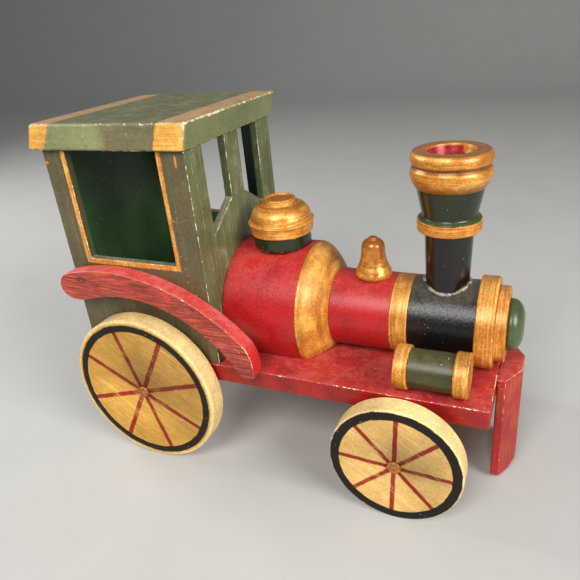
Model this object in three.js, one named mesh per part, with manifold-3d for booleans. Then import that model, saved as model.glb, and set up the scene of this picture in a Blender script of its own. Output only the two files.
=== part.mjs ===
// A hand-made wooden toy steam locomotive, painted, on four rolling wheels.
// Millimetres. +X is forward, +Y is the locomotive's left, +Z is up, and the floor is at z = 0.
// While it is being built, x is measured from the rear end of the running board. At the end the
// whole group is shifted so that its origin is on the floor under the middle of the object.
import * as THREE from 'three';
import { mergeVertices } from 'three/addons/utils/BufferGeometryUtils.js';
import Module from 'manifold-3d';

const wasm = await Module();
wasm.setup();

// Fits shared by all pieces
const glueLine = 0.1;          // gap left between two pieces that are glued together
const runningClearance = 0.25; // radial clearance of an axle that turns in its block
const pegClearance = 0.15;     // radial clearance of a glued peg in its hole

// Running board
const plateLength = 211;
const plateWidth = 84;
const plateThickness = 9.5;
const plateAboveRearAxle = 16.2; // from the rear axle's centre up to the board's top

// Wheels and axles
const rearWheelRadius = 42;
const frontWheelRadius = 30.4;
const wheelThickness = 10.3;
const wheelEdge = 0.9;          // small chamfer round both faces
const rearWheelGap = 1.7;       // between the rear wheels and the board's sides
const frontWheelGap = 2.9;      // between the front wheels and whatever sticks out furthest
const rearAxleFromRear = 38.8;
const frontAxleFromFront = 37.8;
const axleRadius = 3.2;
const axleProud = 0.6;          // how far an axle end stands out of its wheel
const blockLength = 24;         // of an axle block, along the locomotive
const blockInset = 3;           // from the board's side to the block's end
const blockWall = 6;            // wood under the axle hole

// Cab
const cabInset = 1;             // from the board's side to the cab's outer wall
const cabLength = 80.3;
const cabHeight = 107.4;
const wallThickness = 4.2;
const openingSill = 52.4;       // height of the side opening's sill above the board
const rearPostWidth = 13.3;
const frontPostWidth = 15.2;
const windowSillOuter = 63.8;   // the two front windows have sills that climb to the middle
const windowSillInner = 76.8;
const windowSidePost = 10;
const windowCentrePost = 13;

// Cab roof
const roofThickness = 12.5;
const roofRearOverhang = 5.8;
const roofFrontOverhang = 5;
const roofSideOverhang = 3.3;
const roofCorner = 3.2;         // radius of the roof's corners, seen from above
const roofEdge = 1.6;           // rounding of its top and bottom edges

// Firebox and boiler, all on one axis
const boilerRadius = 19.4;
const fireboxRadius = 32.2;
const fireboxLength = 39.1;
const shoulderLength = 12.4;
const shoulderCurve = 1.55;     // 1 would make the shoulder a straight cone, more makes it rounder
const barrelLength = 29.7;
const bandLength = 8.5;
const smokeboxLength = 30.1;
const noseRingLength = 8.3;
const noseRingProud = 2.4;      // nose ring's radius over the boiler's
const doorRingLength = 4.8;
const doorRingStep = 1.6;       // door ring's radius under the boiler's
const noseRadius = 12.2;
const noseLength = 6.8;
const noseRound = 5.6;          // length of the nose's rounded edge
const noseRoundIn = 8.5;        // how far that rounding comes in towards the axis
const coreRadius = 4;           // dowel that strings the boiler's pieces together
const coreInFirebox = 16;
const coreInNose = 3;

// Chimney
const tubeRadius = 10;
const tubeTopRadius = 10.8;
const tubeHeight = 26.3;
const collarRadius = 14.3;
const collarHeight = 5.3;
const flareFootHeight = 1.3;
const flareWaistRadius = 11.9;
const flareTopRadius = 14.7;
const flareHeight = 14.2;
const crownRadius = 17.5;
const crownGroove = 0.9;        // depth of the groove between the crown's two rolls
const crownHeight = 15.9;
const crownRimRadius = 15.8;
const crownFootProud = 0.3;     // crown's foot over the flare's top
const boreTopRadius = 10.5;
const boreBottomRadius = 6.5;
const chimneyPegRadius = 4;
const topPegDepth = 8;          // how deep the chimney, dome and bell are pegged in
const seatDepth = 0.6;          // flat cut into a round top for what stands on it
const seatMargin = 0.5;

// Steam dome and bell
const domeForward = 2.7;        // from the firebox's middle to the dome's axis
const domeBaseRadius = 14.5;
const domeBaseHeight = 7.2;
const domeRimRadius = 15.7;
const domeLipRadius = 16.6;
const domeLipHeight = 6;
const domeHeight = 14.6;
const domeBossRadius = 8.2;
const domeBossHeight = 2.5;
const domeLipProud = 1.4;       // the lip over the round part above it
const domeLipSide = 0.9;        // height of the lip's own edge
const domeBossTaper = 0.4;
const domePegRadius = 4;
const bellForward = 17.9;       // from the barrel's rear end to the bell's axis
const bellRadius = 9.1;
const bellHeight = 19.6;
const bellWaistRadius = 5.7;
const bellButtonRadius = 2.2;
const bellPegRadius = 2.5;

// Steam cylinders
const cylinderFromFront = 25.8; // from the board's front end to the cylinder's middle
const cylinderGap = 1;          // between a cylinder and the nose ring, seen from the front
const barrelRadius = 9;
const cylinderLength = 19.5;
const capRadius = 10.2;
const capLength = 6.3;

// Cowcatcher block
const cowWidth = 36;
const cowThickness = 10.4;
const cowChamferAlong = 6.5;
const cowChamferAcross = 11.5;
const cowGround = 2;            // clear of the floor
const cowToe = 5;               // rounding of the lower front edge
const cowPegRadius = 2;
const cowPegReach = 6.5;        // into the block, and twice as far into the board
const cowPegSpacing = 18;

// Fenders over the rear wheels
const fenderThickness = 8.5;
const fenderLift = 10.5;        // clear height over the top of the rear wheel
const fenderDepth = 13.3;       // depth of the curved board over the wheel
const fenderInnerOverWheel = 30; // inner curve's radius over the wheel's
const fenderOuterOverInner = 28; // outer curve's radius over the inner's
const fenderInnerBack = 3.5;    // inner curve's centre, behind the axle
const fenderOuterBack = 11;     // outer curve's centre, behind the axle
const fenderTail = 35;          // from the axle back to the start of the rounded rear end
const fenderTailRound = 10.7;   // how far the two curves pull the rounded rear end out
const fenderTipHeight = 17.5;   // height over the board at which the front tip turns down
const fenderTipLean = 3.2;      // how far the tip still moves forward below that
const fenderTipCurve = 5;       // height over which the tip turns, and of its straight front
const fenderTipCut = 1.5;       // the tip's small slope back at its foot
const fenderStandOff = 0.4;     // gap between the tip and the board

// Facets
const wheelSides = 48;
const bodySides = 48;
const smallSides = 32;
const pegSides = 16;
const curveSteps = 14;
const shoulderSteps = 8;
const noseSteps = 5;
const domeSteps = 6;
const edgeSteps = 3;

const past = 1;                 // how far a cut runs on past the surface it cuts

// Places that follow from the sizes above
const plateTop = rearWheelRadius + plateAboveRearAxle;
const plateBottom = plateTop - plateThickness;
const rearAxleX = rearAxleFromRear;
const frontAxleX = plateLength - frontAxleFromFront;
const cabHalfWidth = plateWidth / 2 - cabInset;
const cabTop = plateTop + cabHeight;
const boilerAxis = plateTop + boilerRadius;
const noseRingRadius = boilerRadius + noseRingProud;
const doorRingRadius = boilerRadius - doorRingStep;
const fireboxX = cabLength + glueLine;
const shoulderX = fireboxX + fireboxLength;
const barrelX = shoulderX + shoulderLength;
const bandX = barrelX + barrelLength;
const smokeboxX = bandX + bandLength;
const noseRingX = smokeboxX + smokeboxLength;
const doorRingX = noseRingX + noseRingLength;
const noseX = doorRingX + doorRingLength;
const chimneyX = smokeboxX + smokeboxLength / 2;
const domeX = fireboxX + fireboxLength / 2 + domeForward;
const bellX = barrelX + bellForward;
const cylinderX = plateLength - cylinderFromFront;
const cylinderY = noseRingRadius + cylinderGap + capRadius;

const red = { color: 0x9c1512, roughness: 0.42, metalness: 0 };
const green = { color: 0x4f5a2c, roughness: 0.5, metalness: 0 };
const gold = { color: 0xc98a35, roughness: 0.4, metalness: 0.25 };
const black = { color: 0x1b1916, roughness: 0.3, metalness: 0 };
const ochre = { color: 0xc9a45c, roughness: 0.55, metalness: 0 };
const wood = { color: 0xcfae7a, roughness: 0.7, metalness: 0 };

const locomotive = new THREE.Group();
const rearWheelset = new THREE.Group();
const frontWheelset = new THREE.Group();
locomotive.add(rearWheelset, frontWheelset);

function addPart(name, geometry, paint, place = [0, 0, 0], group = locomotive) {
  const mesh = new THREE.Mesh(geometry, new THREE.MeshStandardMaterial(paint));
  mesh.name = name;
  mesh.position.set(...place);
  group.add(mesh);
  return mesh;
}

// A triangle mesh as a solid that can be cut and joined: positions only, corners merged.
function solidOf(geometry) {
  const bare = new THREE.BufferGeometry();
  bare.setAttribute('position', geometry.getAttribute('position'));
  bare.setIndex(geometry.getIndex());
  const merged = mergeVertices(bare, 1e-4);
  const corners = merged.getIndex().array;
  const triVerts = [];
  for (let i = 0; i < corners.length; i += 3) {
    const [a, b, c] = corners.slice(i, i + 3);
    if (a !== b && b !== c && c !== a) triVerts.push(a, b, c);
  }
  const mesh = new wasm.Mesh({
    numProp: 3,
    vertProperties: new Float32Array(merged.getAttribute('position').array),
    triVerts: new Uint32Array(triVerts),
  });
  return new wasm.Manifold(mesh);
}

function geometryOf(solid) {
  const mesh = solid.getMesh();
  const geometry = new THREE.BufferGeometry();
  geometry.setAttribute('position', new THREE.BufferAttribute(mesh.vertProperties, 3));
  geometry.setIndex(new THREE.BufferAttribute(mesh.triVerts, 1));
  geometry.computeVertexNormals();
  return geometry;
}

function cut(geometry, ...tools) {
  return geometryOf(tools.reduce((rest, tool) => rest.subtract(solidOf(tool)), solidOf(geometry)));
}

// Turned shapes. A profile is a list of [radius, distance along the axis]. It starts and ends on
// the axis, or closes on itself when the piece has a hole through it.
function turned(profile, sides) {
  const points = profile.map(([radius, along]) => new THREE.Vector2(radius, along));
  return new THREE.LatheGeometry(points, sides, Math.PI / sides);
}

const turnedUp = (profile, sides) => turned(profile, sides).rotateX(Math.PI / 2);
const turnedForward = (profile, sides) => turned(profile, sides).rotateZ(-Math.PI / 2);

function ring(outer, hole, length) {
  return [[hole, 0], [outer, 0], [outer, length], [hole, length], [hole, 0]];
}

function rod(radius, from, to) {
  return [[0, from], [radius, from], [radius, to], [0, to]];
}

// A box given by its lowest corner and its size.
function block(x, y, z, length, width, height) {
  const box = new THREE.BoxGeometry(length, width, height);
  return box.translate(x + length / 2, y + width / 2, z + height / 2);
}

// A board cut to an outline drawn in x and z, from y = 0 to y = thickness.
function uprightBoard(outline, thickness) {
  const board = new THREE.ExtrudeGeometry(outline, {
    depth: thickness,
    bevelEnabled: false,
    curveSegments: curveSteps,
  });
  return board.rotateX(Math.PI / 2).translate(0, thickness, 0);
}

function polygon(points) {
  return new THREE.Shape(points.map(([u, v]) => new THREE.Vector2(u, v)));
}

// ---- Running board, axle blocks, cowcatcher ----

const cowPegs = [-cowPegSpacing / 2, cowPegSpacing / 2];
const cowPegZ = (plateTop + plateBottom) / 2;

function pegHole(radius, x, y, from, to) {
  return turnedForward(rod(radius + pegClearance, from, to), pegSides).translate(x, y, cowPegZ);
}

function runningBoard() {
  const board = block(0, -plateWidth / 2, plateBottom, plateLength, plateWidth, plateThickness);
  const holes = cowPegs.map((y) => pegHole(cowPegRadius, plateLength, y, -2 * cowPegReach - glueLine, past));
  return cut(board, ...holes);
}

function cowcatcher() {
  const half = cowWidth / 2;
  const back = plateLength + glueLine;
  const front = back + cowThickness;
  const plan = polygon([
    [back, -half],
    [front - cowChamferAlong, -half],
    [front, -half + cowChamferAcross],
    [front, half - cowChamferAcross],
    [front - cowChamferAlong, half],
    [back, half],
  ]);
  const height = plateTop - cowGround;
  const body = new THREE.ExtrudeGeometry(plan, { depth: height, bevelEnabled: false });
  body.translate(0, 0, cowGround);
  // The waste under the rounded toe: the corner of a square, outside a quarter circle.
  const waste = new THREE.Shape();
  waste.moveTo(front + past, cowGround - past);
  waste.lineTo(front + past, cowGround + cowToe);
  waste.lineTo(front, cowGround + cowToe);
  waste.absarc(front - cowToe, cowGround + cowToe, cowToe, 0, -Math.PI / 2, true);
  waste.lineTo(front - cowToe, cowGround - past);
  const toe = uprightBoard(waste, cowWidth + 2 * past).translate(0, -half - past, 0);
  const holes = cowPegs.map((y) => pegHole(cowPegRadius, back, y, -past, cowPegReach + glueLine));
  return cut(body, toe, ...holes);
}

function axleBlock(axleZ) {
  const width = plateWidth - 2 * blockInset;
  const bottom = axleZ - axleRadius - blockWall;
  const height = plateBottom - glueLine - bottom;
  const body = block(-blockLength / 2, -width / 2, bottom, blockLength, width, height);
  const hole = turned(rod(axleRadius + runningClearance, -width, width), smallSides);
  return cut(body, hole.translate(0, 0, axleZ));
}

addPart('running_board', runningBoard(), red);
addPart('rear_axle_block', axleBlock(rearWheelRadius), wood, [rearAxleX, 0, 0]);
addPart('front_axle_block', axleBlock(frontWheelRadius), wood, [frontAxleX, 0, 0]);
addPart('cowcatcher', cowcatcher(), red);
cowPegs.forEach((y, i) => {
  const peg = turnedForward(rod(cowPegRadius, -2 * cowPegReach, cowPegReach), pegSides);
  addPart(`cowcatcher_peg_${i + 1}`, peg, wood, [plateLength, y, cowPegZ]);
});

// ---- Wheelsets ----

// A wheel's flats are at its stated radius, so it stands on a flat with its rim on the floor.
function wheel(radius) {
  const rim = radius / Math.cos(Math.PI / wheelSides);
  const hole = axleRadius + glueLine;
  const half = wheelThickness / 2;
  const profile = [
    [hole, -half],
    [rim - wheelEdge, -half],
    [rim, wheelEdge - half],
    [rim, half - wheelEdge],
    [rim - wheelEdge, half],
    [hole, half],
    [hole, -half],
  ];
  return turned(profile, wheelSides);
}

function addWheelset(end, group, x, radius, innerFace) {
  const middle = innerFace + wheelThickness / 2;
  const reach = innerFace + wheelThickness + axleProud;
  group.position.set(x, 0, radius);
  addPart(`${end}_axle`, turned(rod(axleRadius, -reach, reach), smallSides), wood, [0, 0, 0], group);
  addPart(`${end}_wheel_right`, wheel(radius), ochre, [0, -middle, 0], group);
  addPart(`${end}_wheel_left`, wheel(radius), ochre, [0, middle, 0], group);
}

const frontWidest = Math.max(plateWidth / 2, cylinderY + capRadius);
addWheelset('rear', rearWheelset, rearAxleX, rearWheelRadius, plateWidth / 2 + rearWheelGap);
addWheelset('front', frontWheelset, frontAxleX, frontWheelRadius, frontWidest + frontWheelGap);

// ---- Firebox and boiler ----

const coreHole = coreRadius + pegClearance;

// A hole drilled down into a round top, with a shallow flat seat round its mouth.
function seatAndHole(x, crown, seatRadius, pegRadius) {
  const floor = crown - topPegDepth - seatDepth - glueLine;
  const seat = rod(seatRadius + seatMargin, crown - seatDepth, crown + past);
  const hole = rod(pegRadius + pegClearance, floor, crown + past);
  return [seat, hole].map((profile) => turnedUp(profile, smallSides).translate(x, 0, 0));
}

function firebox() {
  const drum = turnedForward(rod(fireboxRadius, 0, fireboxLength - glueLine), bodySides);
  drum.translate(fireboxX, 0, boilerAxis);
  const depth = coreInFirebox + glueLine;
  const core = turnedForward(rod(coreHole, -depth, past), pegSides).translate(shoulderX, 0, boilerAxis);
  const low = block(0, -plateWidth, 0, plateLength, 2 * plateWidth, plateTop + glueLine);
  const crown = boilerAxis + fireboxRadius;
  return cut(drum, low, core, ...seatAndHole(domeX, crown, domeBaseRadius, domePegRadius));
}

// The shoulder is a slightly rounded cone from the firebox's radius down to the boiler's.
function shoulder() {
  const length = shoulderLength - glueLine;
  const profile = [[coreHole, 0]];
  for (let i = 0; i <= shoulderSteps; i += 1) {
    const share = i / shoulderSteps;
    const radius = boilerRadius + (fireboxRadius - boilerRadius) * (1 - share ** shoulderCurve);
    profile.push([radius, length * share]);
  }
  profile.push([coreHole, length], [coreHole, 0]);
  const body = turnedForward(profile, bodySides).translate(shoulderX, 0, boilerAxis);
  const low = block(0, -plateWidth, 0, plateLength, 2 * plateWidth, plateTop + glueLine);
  return cut(body, low);
}

function boilerPiece(x, radius, length) {
  return turnedForward(ring(radius, coreHole, length - glueLine), bodySides).translate(x, 0, boilerAxis);
}

const boilerCrown = boilerAxis + boilerRadius;
const barrel = cut(
  boilerPiece(barrelX, boilerRadius, barrelLength),
  ...seatAndHole(bellX, boilerCrown, bellRadius, bellPegRadius),
);
const smokebox = cut(
  boilerPiece(smokeboxX, boilerRadius, smokeboxLength),
  ...seatAndHole(chimneyX, boilerCrown, tubeRadius, chimneyPegRadius),
);
const noseRing = cut(
  boilerPiece(noseRingX, noseRingRadius, noseRingLength),
  block(0, -plateWidth, 0, plateLength, 2 * plateWidth, plateTop + glueLine),
);

// The nose is a button: a rounded edge, then a gently domed face.
function noseButton() {
  const side = noseLength - noseRound;
  const profile = [[coreHole, 0], [noseRadius, 0], [noseRadius, side]];
  for (let i = 1; i <= noseSteps; i += 1) {
    const turn = (i / (noseSteps + 1)) * (Math.PI / 2);
    const radius = noseRadius - noseRoundIn * (1 - Math.cos(turn));
    profile.push([radius, side + noseRound * Math.sin(turn)]);
  }
  profile.push([0, noseLength], [0, coreInNose + glueLine], [coreHole, coreInNose + glueLine]);
  profile.push([coreHole, 0]);
  return turnedForward(profile, smallSides).translate(noseX, 0, boilerAxis);
}

const coreFrom = shoulderX - coreInFirebox;
const core = turnedForward(rod(coreRadius, 0, noseX + coreInNose - coreFrom), pegSides);

addPart('firebox_drum', firebox(), red);
addPart('firebox_shoulder', shoulder(), gold);
addPart('boiler_barrel', barrel, red);
addPart('boiler_band', boilerPiece(bandX, boilerRadius, bandLength), gold);
addPart('smokebox', smokebox, black);
addPart('smokebox_ring', noseRing, gold);
addPart('smokebox_door', boilerPiece(doorRingX, doorRingRadius, doorRingLength), gold);
addPart('nose_button', noseButton(), green);
addPart('boiler_core_dowel', core, wood, [coreFrom, 0, boilerAxis]);

// ---- Chimney, on the smokebox ----

const chimneySeat = boilerCrown - seatDepth + glueLine;
const collarZ = chimneySeat + tubeHeight;
const flareZ = collarZ + collarHeight;
const crownZ = flareZ + flareHeight;

// The crown: a cone that widens, two rolls with a groove between them, a flat rim and a funnel.
// Its outline gives, from the foot up, each turning point's radius and its share of the height.
function chimneyCrown() {
  const height = crownHeight - glueLine;
  const groove = crownRadius - crownGroove;
  return turnedUp([
    [boreBottomRadius, 0],
    [flareTopRadius + crownFootProud, 0],
    [flareTopRadius + 1.5, height * 0.12],
    [crownRadius - 0.5, height * 0.26],
    [crownRadius, height * 0.4],
    [crownRadius - 0.4, height * 0.52],
    [groove, height * 0.6],
    [crownRadius - 0.5, height * 0.67],
    [crownRadius, height * 0.79],
    [crownRadius - 0.4, height * 0.91],
    [crownRimRadius, height],
    [boreTopRadius, height],
    [boreBottomRadius, 0],
  ], smallSides);
}

addPart('chimney_tube', turnedUp([
  [0, -topPegDepth],
  [chimneyPegRadius, -topPegDepth],
  [chimneyPegRadius, 0],
  [tubeRadius, 0],
  [tubeTopRadius, tubeHeight - glueLine],
  [0, tubeHeight - glueLine],
], smallSides), black, [chimneyX, 0, chimneySeat]);
addPart('chimney_collar', turnedUp(rod(collarRadius, 0, collarHeight - glueLine), smallSides),
  gold, [chimneyX, 0, collarZ]);
addPart('chimney_flare', turnedUp([
  [0, 0],
  [collarRadius - 0.3, 0],
  [flareWaistRadius, flareFootHeight],
  [flareTopRadius, flareHeight - glueLine],
  [0, flareHeight - glueLine],
], smallSides), green, [chimneyX, 0, flareZ]);
addPart('chimney_crown', chimneyCrown(), gold, [chimneyX, 0, crownZ]);

// ---- Steam dome, on the firebox ----

const domeSeat = boilerAxis + fireboxRadius - seatDepth + glueLine;

addPart('dome_base', turnedUp([
  [0, -topPegDepth],
  [domePegRadius, -topPegDepth],
  [domePegRadius, 0],
  [domeBaseRadius, 0],
  [domeBaseRadius, domeBaseHeight - glueLine],
  [0, domeBaseHeight - glueLine],
], smallSides), green, [domeX, 0, domeSeat]);

// A rim, a thin lip, then a quarter round up to a small tapered boss.
function steamDome() {
  const shoulderRadius = domeLipRadius - domeLipProud;
  const start = domeLipHeight + domeLipSide / 2;
  const profile = [
    [0, 0],
    [domeRimRadius, 0],
    [domeLipRadius - domeLipSide / 3, domeLipHeight - domeLipSide],
    [domeLipRadius, domeLipHeight - domeLipSide / 2],
    [domeLipRadius - domeLipSide / 3, domeLipHeight],
  ];
  for (let i = 0; i < domeSteps; i += 1) {
    const turn = (i / domeSteps) * (Math.PI / 2);
    const radius = domeBossRadius + (shoulderRadius - domeBossRadius) * Math.cos(turn);
    profile.push([radius, start + (domeHeight - start) * Math.sin(turn)]);
  }
  profile.push([domeBossRadius, domeHeight]);
  profile.push([domeBossRadius - domeBossTaper, domeHeight + domeBossHeight]);
  profile.push([0, domeHeight + domeBossHeight]);
  return turnedUp(profile, smallSides);
}

addPart('steam_dome', steamDome(), gold, [domeX, 0, domeSeat + domeBaseHeight]);

// ---- Bell, on the barrel ----

// A skirt that sweeps up to a slender waist, then a round head with a small button on it. The
// outline gives each point's radius and its share of the height.
function bell() {
  const waist = bellWaistRadius;
  return turnedUp([
    [0, -topPegDepth],
    [bellPegRadius, -topPegDepth],
    [bellPegRadius, 0],
    [bellRadius - 0.5, 0],
    [bellRadius, bellHeight * 0.06],
    [bellRadius - 0.7, bellHeight * 0.15],
    [waist + 1.3, bellHeight * 0.32],
    [waist + 0.3, bellHeight * 0.52],
    [waist, bellHeight * 0.68],
    [waist - 0.2, bellHeight * 0.8],
    [waist - 1.3, bellHeight * 0.92],
    [bellButtonRadius, bellHeight * 0.95],
    [bellButtonRadius - 0.6, bellHeight],
    [0, bellHeight],
  ], smallSides);
}

addPart('bell', bell(), gold, [bellX, 0, boilerCrown - seatDepth + glueLine]);

// ---- Steam cylinders, one on each side of the smokebox ----

function addCylinder(side, y) {
  const axis = plateTop + glueLine + capRadius;
  const capProfile = rod(capRadius, 0, capLength - glueLine);
  const start = cylinderX - cylinderLength / 2;
  const drum = turnedForward(rod(barrelRadius, 0, cylinderLength - glueLine), smallSides);
  addPart(`cylinder_${side}_barrel`, drum, green, [start, y, axis]);
  addPart(`cylinder_${side}_rear_cap`, turnedForward(capProfile, smallSides), gold,
    [start - capLength, y, axis]);
  addPart(`cylinder_${side}_front_cap`, turnedForward(capProfile, smallSides), gold,
    [start + cylinderLength, y, axis]);
}

addCylinder('right', -cylinderY);
addCylinder('left', cylinderY);

// ---- Cab ----

// A side wall: a plain panel up to the sill, with a post at each end that carries the roof.
function sideWall() {
  const foot = plateTop + glueLine;
  const top = cabTop - glueLine;
  const sill = plateTop + openingSill;
  return uprightBoard(polygon([
    [0, foot],
    [cabLength, foot],
    [cabLength, top],
    [cabLength - frontPostWidth, top],
    [cabLength - frontPostWidth, sill],
    [rearPostWidth, sill],
    [rearPostWidth, top],
    [0, top],
  ]), wallThickness);
}

// A panel between the side walls, from an outline drawn in y and z.
function crossWall(outline) {
  const wall = new THREE.ExtrudeGeometry(outline, { depth: wallThickness, bevelEnabled: false });
  return wall.rotateX(Math.PI / 2).rotateZ(Math.PI / 2);
}

const innerHalf = cabHalfWidth - wallThickness - glueLine;

function frontWallOutline() {
  const foot = plateTop + glueLine;
  const top = cabTop - glueLine;
  const outer = innerHalf - windowSidePost;
  const inner = windowCentrePost / 2;
  const low = plateTop + windowSillOuter;
  const high = plateTop + windowSillInner;
  const leftHalf = [
    [innerHalf, foot],
    [innerHalf, top],
    [outer, top],
    [outer, low],
    [inner, high],
    [inner, top],
  ];
  const rightHalf = leftHalf.map(([y, z]) => [-y, z]).reverse();
  return polygon([...leftHalf, ...rightHalf]);
}

function rearWallOutline() {
  const foot = plateTop + glueLine;
  const top = cabTop - glueLine;
  return polygon([[-innerHalf, foot], [innerHalf, foot], [innerHalf, top], [-innerHalf, top]]);
}

// The roof: a board with rounded corners and rounded top and bottom edges.
function roof() {
  const length = roofRearOverhang + cabLength + roofFrontOverhang - 2 * roofEdge;
  const width = 2 * (cabHalfWidth + roofSideOverhang) - 2 * roofEdge;
  const radius = Math.max(roofCorner - roofEdge, 0.5);
  const outline = new THREE.Shape();
  const [x, y] = [length / 2 - radius, width / 2 - radius];
  outline.absarc(x, y, radius, 0, Math.PI / 2);
  outline.absarc(-x, y, radius, Math.PI / 2, Math.PI);
  outline.absarc(-x, -y, radius, Math.PI, 1.5 * Math.PI);
  outline.absarc(x, -y, radius, 1.5 * Math.PI, 2 * Math.PI);
  return new THREE.ExtrudeGeometry(outline, {
    depth: roofThickness - 2 * roofEdge,
    bevelThickness: roofEdge,
    bevelSize: roofEdge,
    bevelSegments: edgeSteps,
    curveSegments: edgeSteps,
  });
}

const roofMiddle = (cabLength + roofFrontOverhang - roofRearOverhang) / 2;

addPart('cab_wall_right', sideWall(), green, [0, -cabHalfWidth, 0]);
addPart('cab_wall_left', sideWall(), green, [0, cabHalfWidth - wallThickness, 0]);
addPart('cab_front_wall', crossWall(frontWallOutline()), green, [cabLength - wallThickness, 0, 0]);
addPart('cab_rear_wall', crossWall(rearWallOutline()), green, [0, 0, 0]);
addPart('cab_roof', roof(), green, [roofMiddle, 0, cabTop + roofEdge]);

// ---- Fenders ----

// A crescent of board: an inner curve over the wheel, a rounded rear end, an outer curve, and a
// front tip that turns down to the running board.
function fenderOutline() {
  const innerRadius = rearWheelRadius + fenderInnerOverWheel;
  const outerRadius = innerRadius + fenderOuterOverInner;
  const innerX = rearAxleX - fenderInnerBack;
  const outerX = rearAxleX - fenderOuterBack;
  const innerTop = 2 * rearWheelRadius + fenderLift;
  const innerZ = innerTop - innerRadius;
  const outerZ = innerTop + fenderDepth - outerRadius;
  const tailX = rearAxleX - fenderTail;
  const foot = plateTop + fenderStandOff;
  const tipZ = plateTop + fenderTipHeight;
  const heightOn = (x, centreX, centreZ, radius) => centreZ + Math.sqrt(radius ** 2 - (x - centreX) ** 2);
  const angleAt = (z, centreZ, radius) => Math.asin((z - centreZ) / radius);
  const tailLow = heightOn(tailX, innerX, innerZ, innerRadius);
  const tailHigh = heightOn(tailX, outerX, outerZ, outerRadius);
  const tipAngle = angleAt(tipZ, outerZ, outerRadius);
  const tipX = outerX + outerRadius * Math.cos(tipAngle);
  const innerEnd = Math.PI - angleAt(tailLow, innerZ, innerRadius);
  const outerEnd = Math.PI - angleAt(tailHigh, outerZ, outerRadius);
  const outline = new THREE.Shape();
  outline.absarc(innerX, innerZ, innerRadius, angleAt(foot, innerZ, innerRadius), innerEnd);
  outline.bezierCurveTo(
    tailX - fenderTailRound * Math.sin(innerEnd), tailLow + fenderTailRound * Math.cos(innerEnd),
    tailX - fenderTailRound * Math.sin(outerEnd), tailHigh + fenderTailRound * Math.cos(outerEnd),
    tailX, tailHigh);
  outline.absarc(outerX, outerZ, outerRadius, outerEnd, tipAngle, true);
  const tipFront = tipX + fenderTipLean;
  outline.quadraticCurveTo(tipFront, tipZ - fenderTipCurve, tipFront, foot + fenderTipCurve);
  outline.lineTo(tipFront - fenderTipCut, foot);
  return outline;
}

addPart('fender_right', uprightBoard(fenderOutline(), fenderThickness), red,
  [0, -cabHalfWidth - glueLine - fenderThickness, 0]);
addPart('fender_left', uprightBoard(fenderOutline(), fenderThickness), red,
  [0, cabHalfWidth + glueLine, 0]);

// The origin goes under the middle of the whole object, with x at half its length.
locomotive.updateMatrixWorld(true);
const extent = new THREE.Box3().setFromObject(locomotive);
locomotive.position.x = -(extent.min.x + extent.max.x) / 2;

export default locomotive;
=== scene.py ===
import math

import bpy
import numpy as np
from mathutils import Euler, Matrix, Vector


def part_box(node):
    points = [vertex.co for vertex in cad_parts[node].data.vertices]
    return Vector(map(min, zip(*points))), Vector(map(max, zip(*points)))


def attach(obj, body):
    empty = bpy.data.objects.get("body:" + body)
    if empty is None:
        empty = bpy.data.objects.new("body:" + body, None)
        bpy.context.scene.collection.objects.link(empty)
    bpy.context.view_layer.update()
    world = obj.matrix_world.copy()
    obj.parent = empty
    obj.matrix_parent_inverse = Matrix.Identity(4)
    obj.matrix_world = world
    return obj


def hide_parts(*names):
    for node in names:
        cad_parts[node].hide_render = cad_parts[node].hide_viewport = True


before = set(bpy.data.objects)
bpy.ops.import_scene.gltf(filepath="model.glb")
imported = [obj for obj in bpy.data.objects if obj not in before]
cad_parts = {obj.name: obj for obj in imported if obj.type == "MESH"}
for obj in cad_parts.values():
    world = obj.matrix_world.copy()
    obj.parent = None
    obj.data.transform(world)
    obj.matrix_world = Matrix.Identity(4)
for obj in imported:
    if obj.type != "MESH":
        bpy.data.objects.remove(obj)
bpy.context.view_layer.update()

MM = 0.001
AROUND = 144  # steps round a turned piece
TURNED_EDGE = 0.45 * MM  # rounding of a turned piece's corners
ARC_STEPS = 6  # steps round a rounded corner


# ---- Places taken from the solids ----


def low(node):
    """A node's lowest corner."""
    return np.array(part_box(node)[0])


def high(node):
    """A node's highest corner."""
    return np.array(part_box(node)[1])


def middle(node):
    """The middle of a node's box."""
    return (low(node) + high(node)) / 2


def half(node):
    """Half of a node's size along x, y and z."""
    return (high(node) - low(node)) / 2


def in_mm(length):
    """A length in millimetres, as a plain number for a finish."""
    return float(length / MM)


# ---- Surfaces ----


def waves(place, seed, length, count=5):
    """Smooth unevenness between about -1 and 1: a sum of sine waves of several lengths near the
    given one, with seeded phases, over an array of distances."""
    random = np.random.default_rng(seed)
    lengths = length * random.uniform(0.5, 1.8, count)
    phases = random.uniform(0, 2 * math.pi, count)
    heights = random.uniform(0.5, 1, count)
    angles = np.multiply.outer(place, 2 * math.pi / lengths) + phases
    return (np.sin(angles) * heights).sum(-1) / heights.sum()


def lattice(rows, columns, closed):
    """The quads of a grid whose points are numbered row by row, as four corner numbers each. A
    closed grid joins its last column to the first."""
    across = columns if closed else columns - 1
    row, column = np.meshgrid(np.arange(rows - 1), np.arange(across), indexing="ij")
    here = row * columns + column
    beside = row * columns + (column + 1) % columns
    return np.stack([here, beside, beside + columns, here + columns], -1).reshape(-1, 4)


def weld(points, quads):
    """Points in one place become one point. Returns the kept points' numbers, the quads with all
    corners apart, and the triangles that are left of quads with two corners in one place."""
    keys = np.round(points / (0.0001 * MM)).astype(np.int64)
    _, kept, number = np.unique(keys, axis=0, return_index=True, return_inverse=True)
    quads = number.reshape(-1)[quads]
    same = quads == np.roll(quads, -1, axis=1)
    whole = quads[same.sum(1) == 0]
    pinched = quads[same.sum(1) == 1]
    corner = same[same.sum(1) == 1].argmax(1)
    turns = (corner[:, None] + np.arange(1, 4)) % 4
    return kept, whole, np.take_along_axis(pinched, turns, 1)


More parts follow.
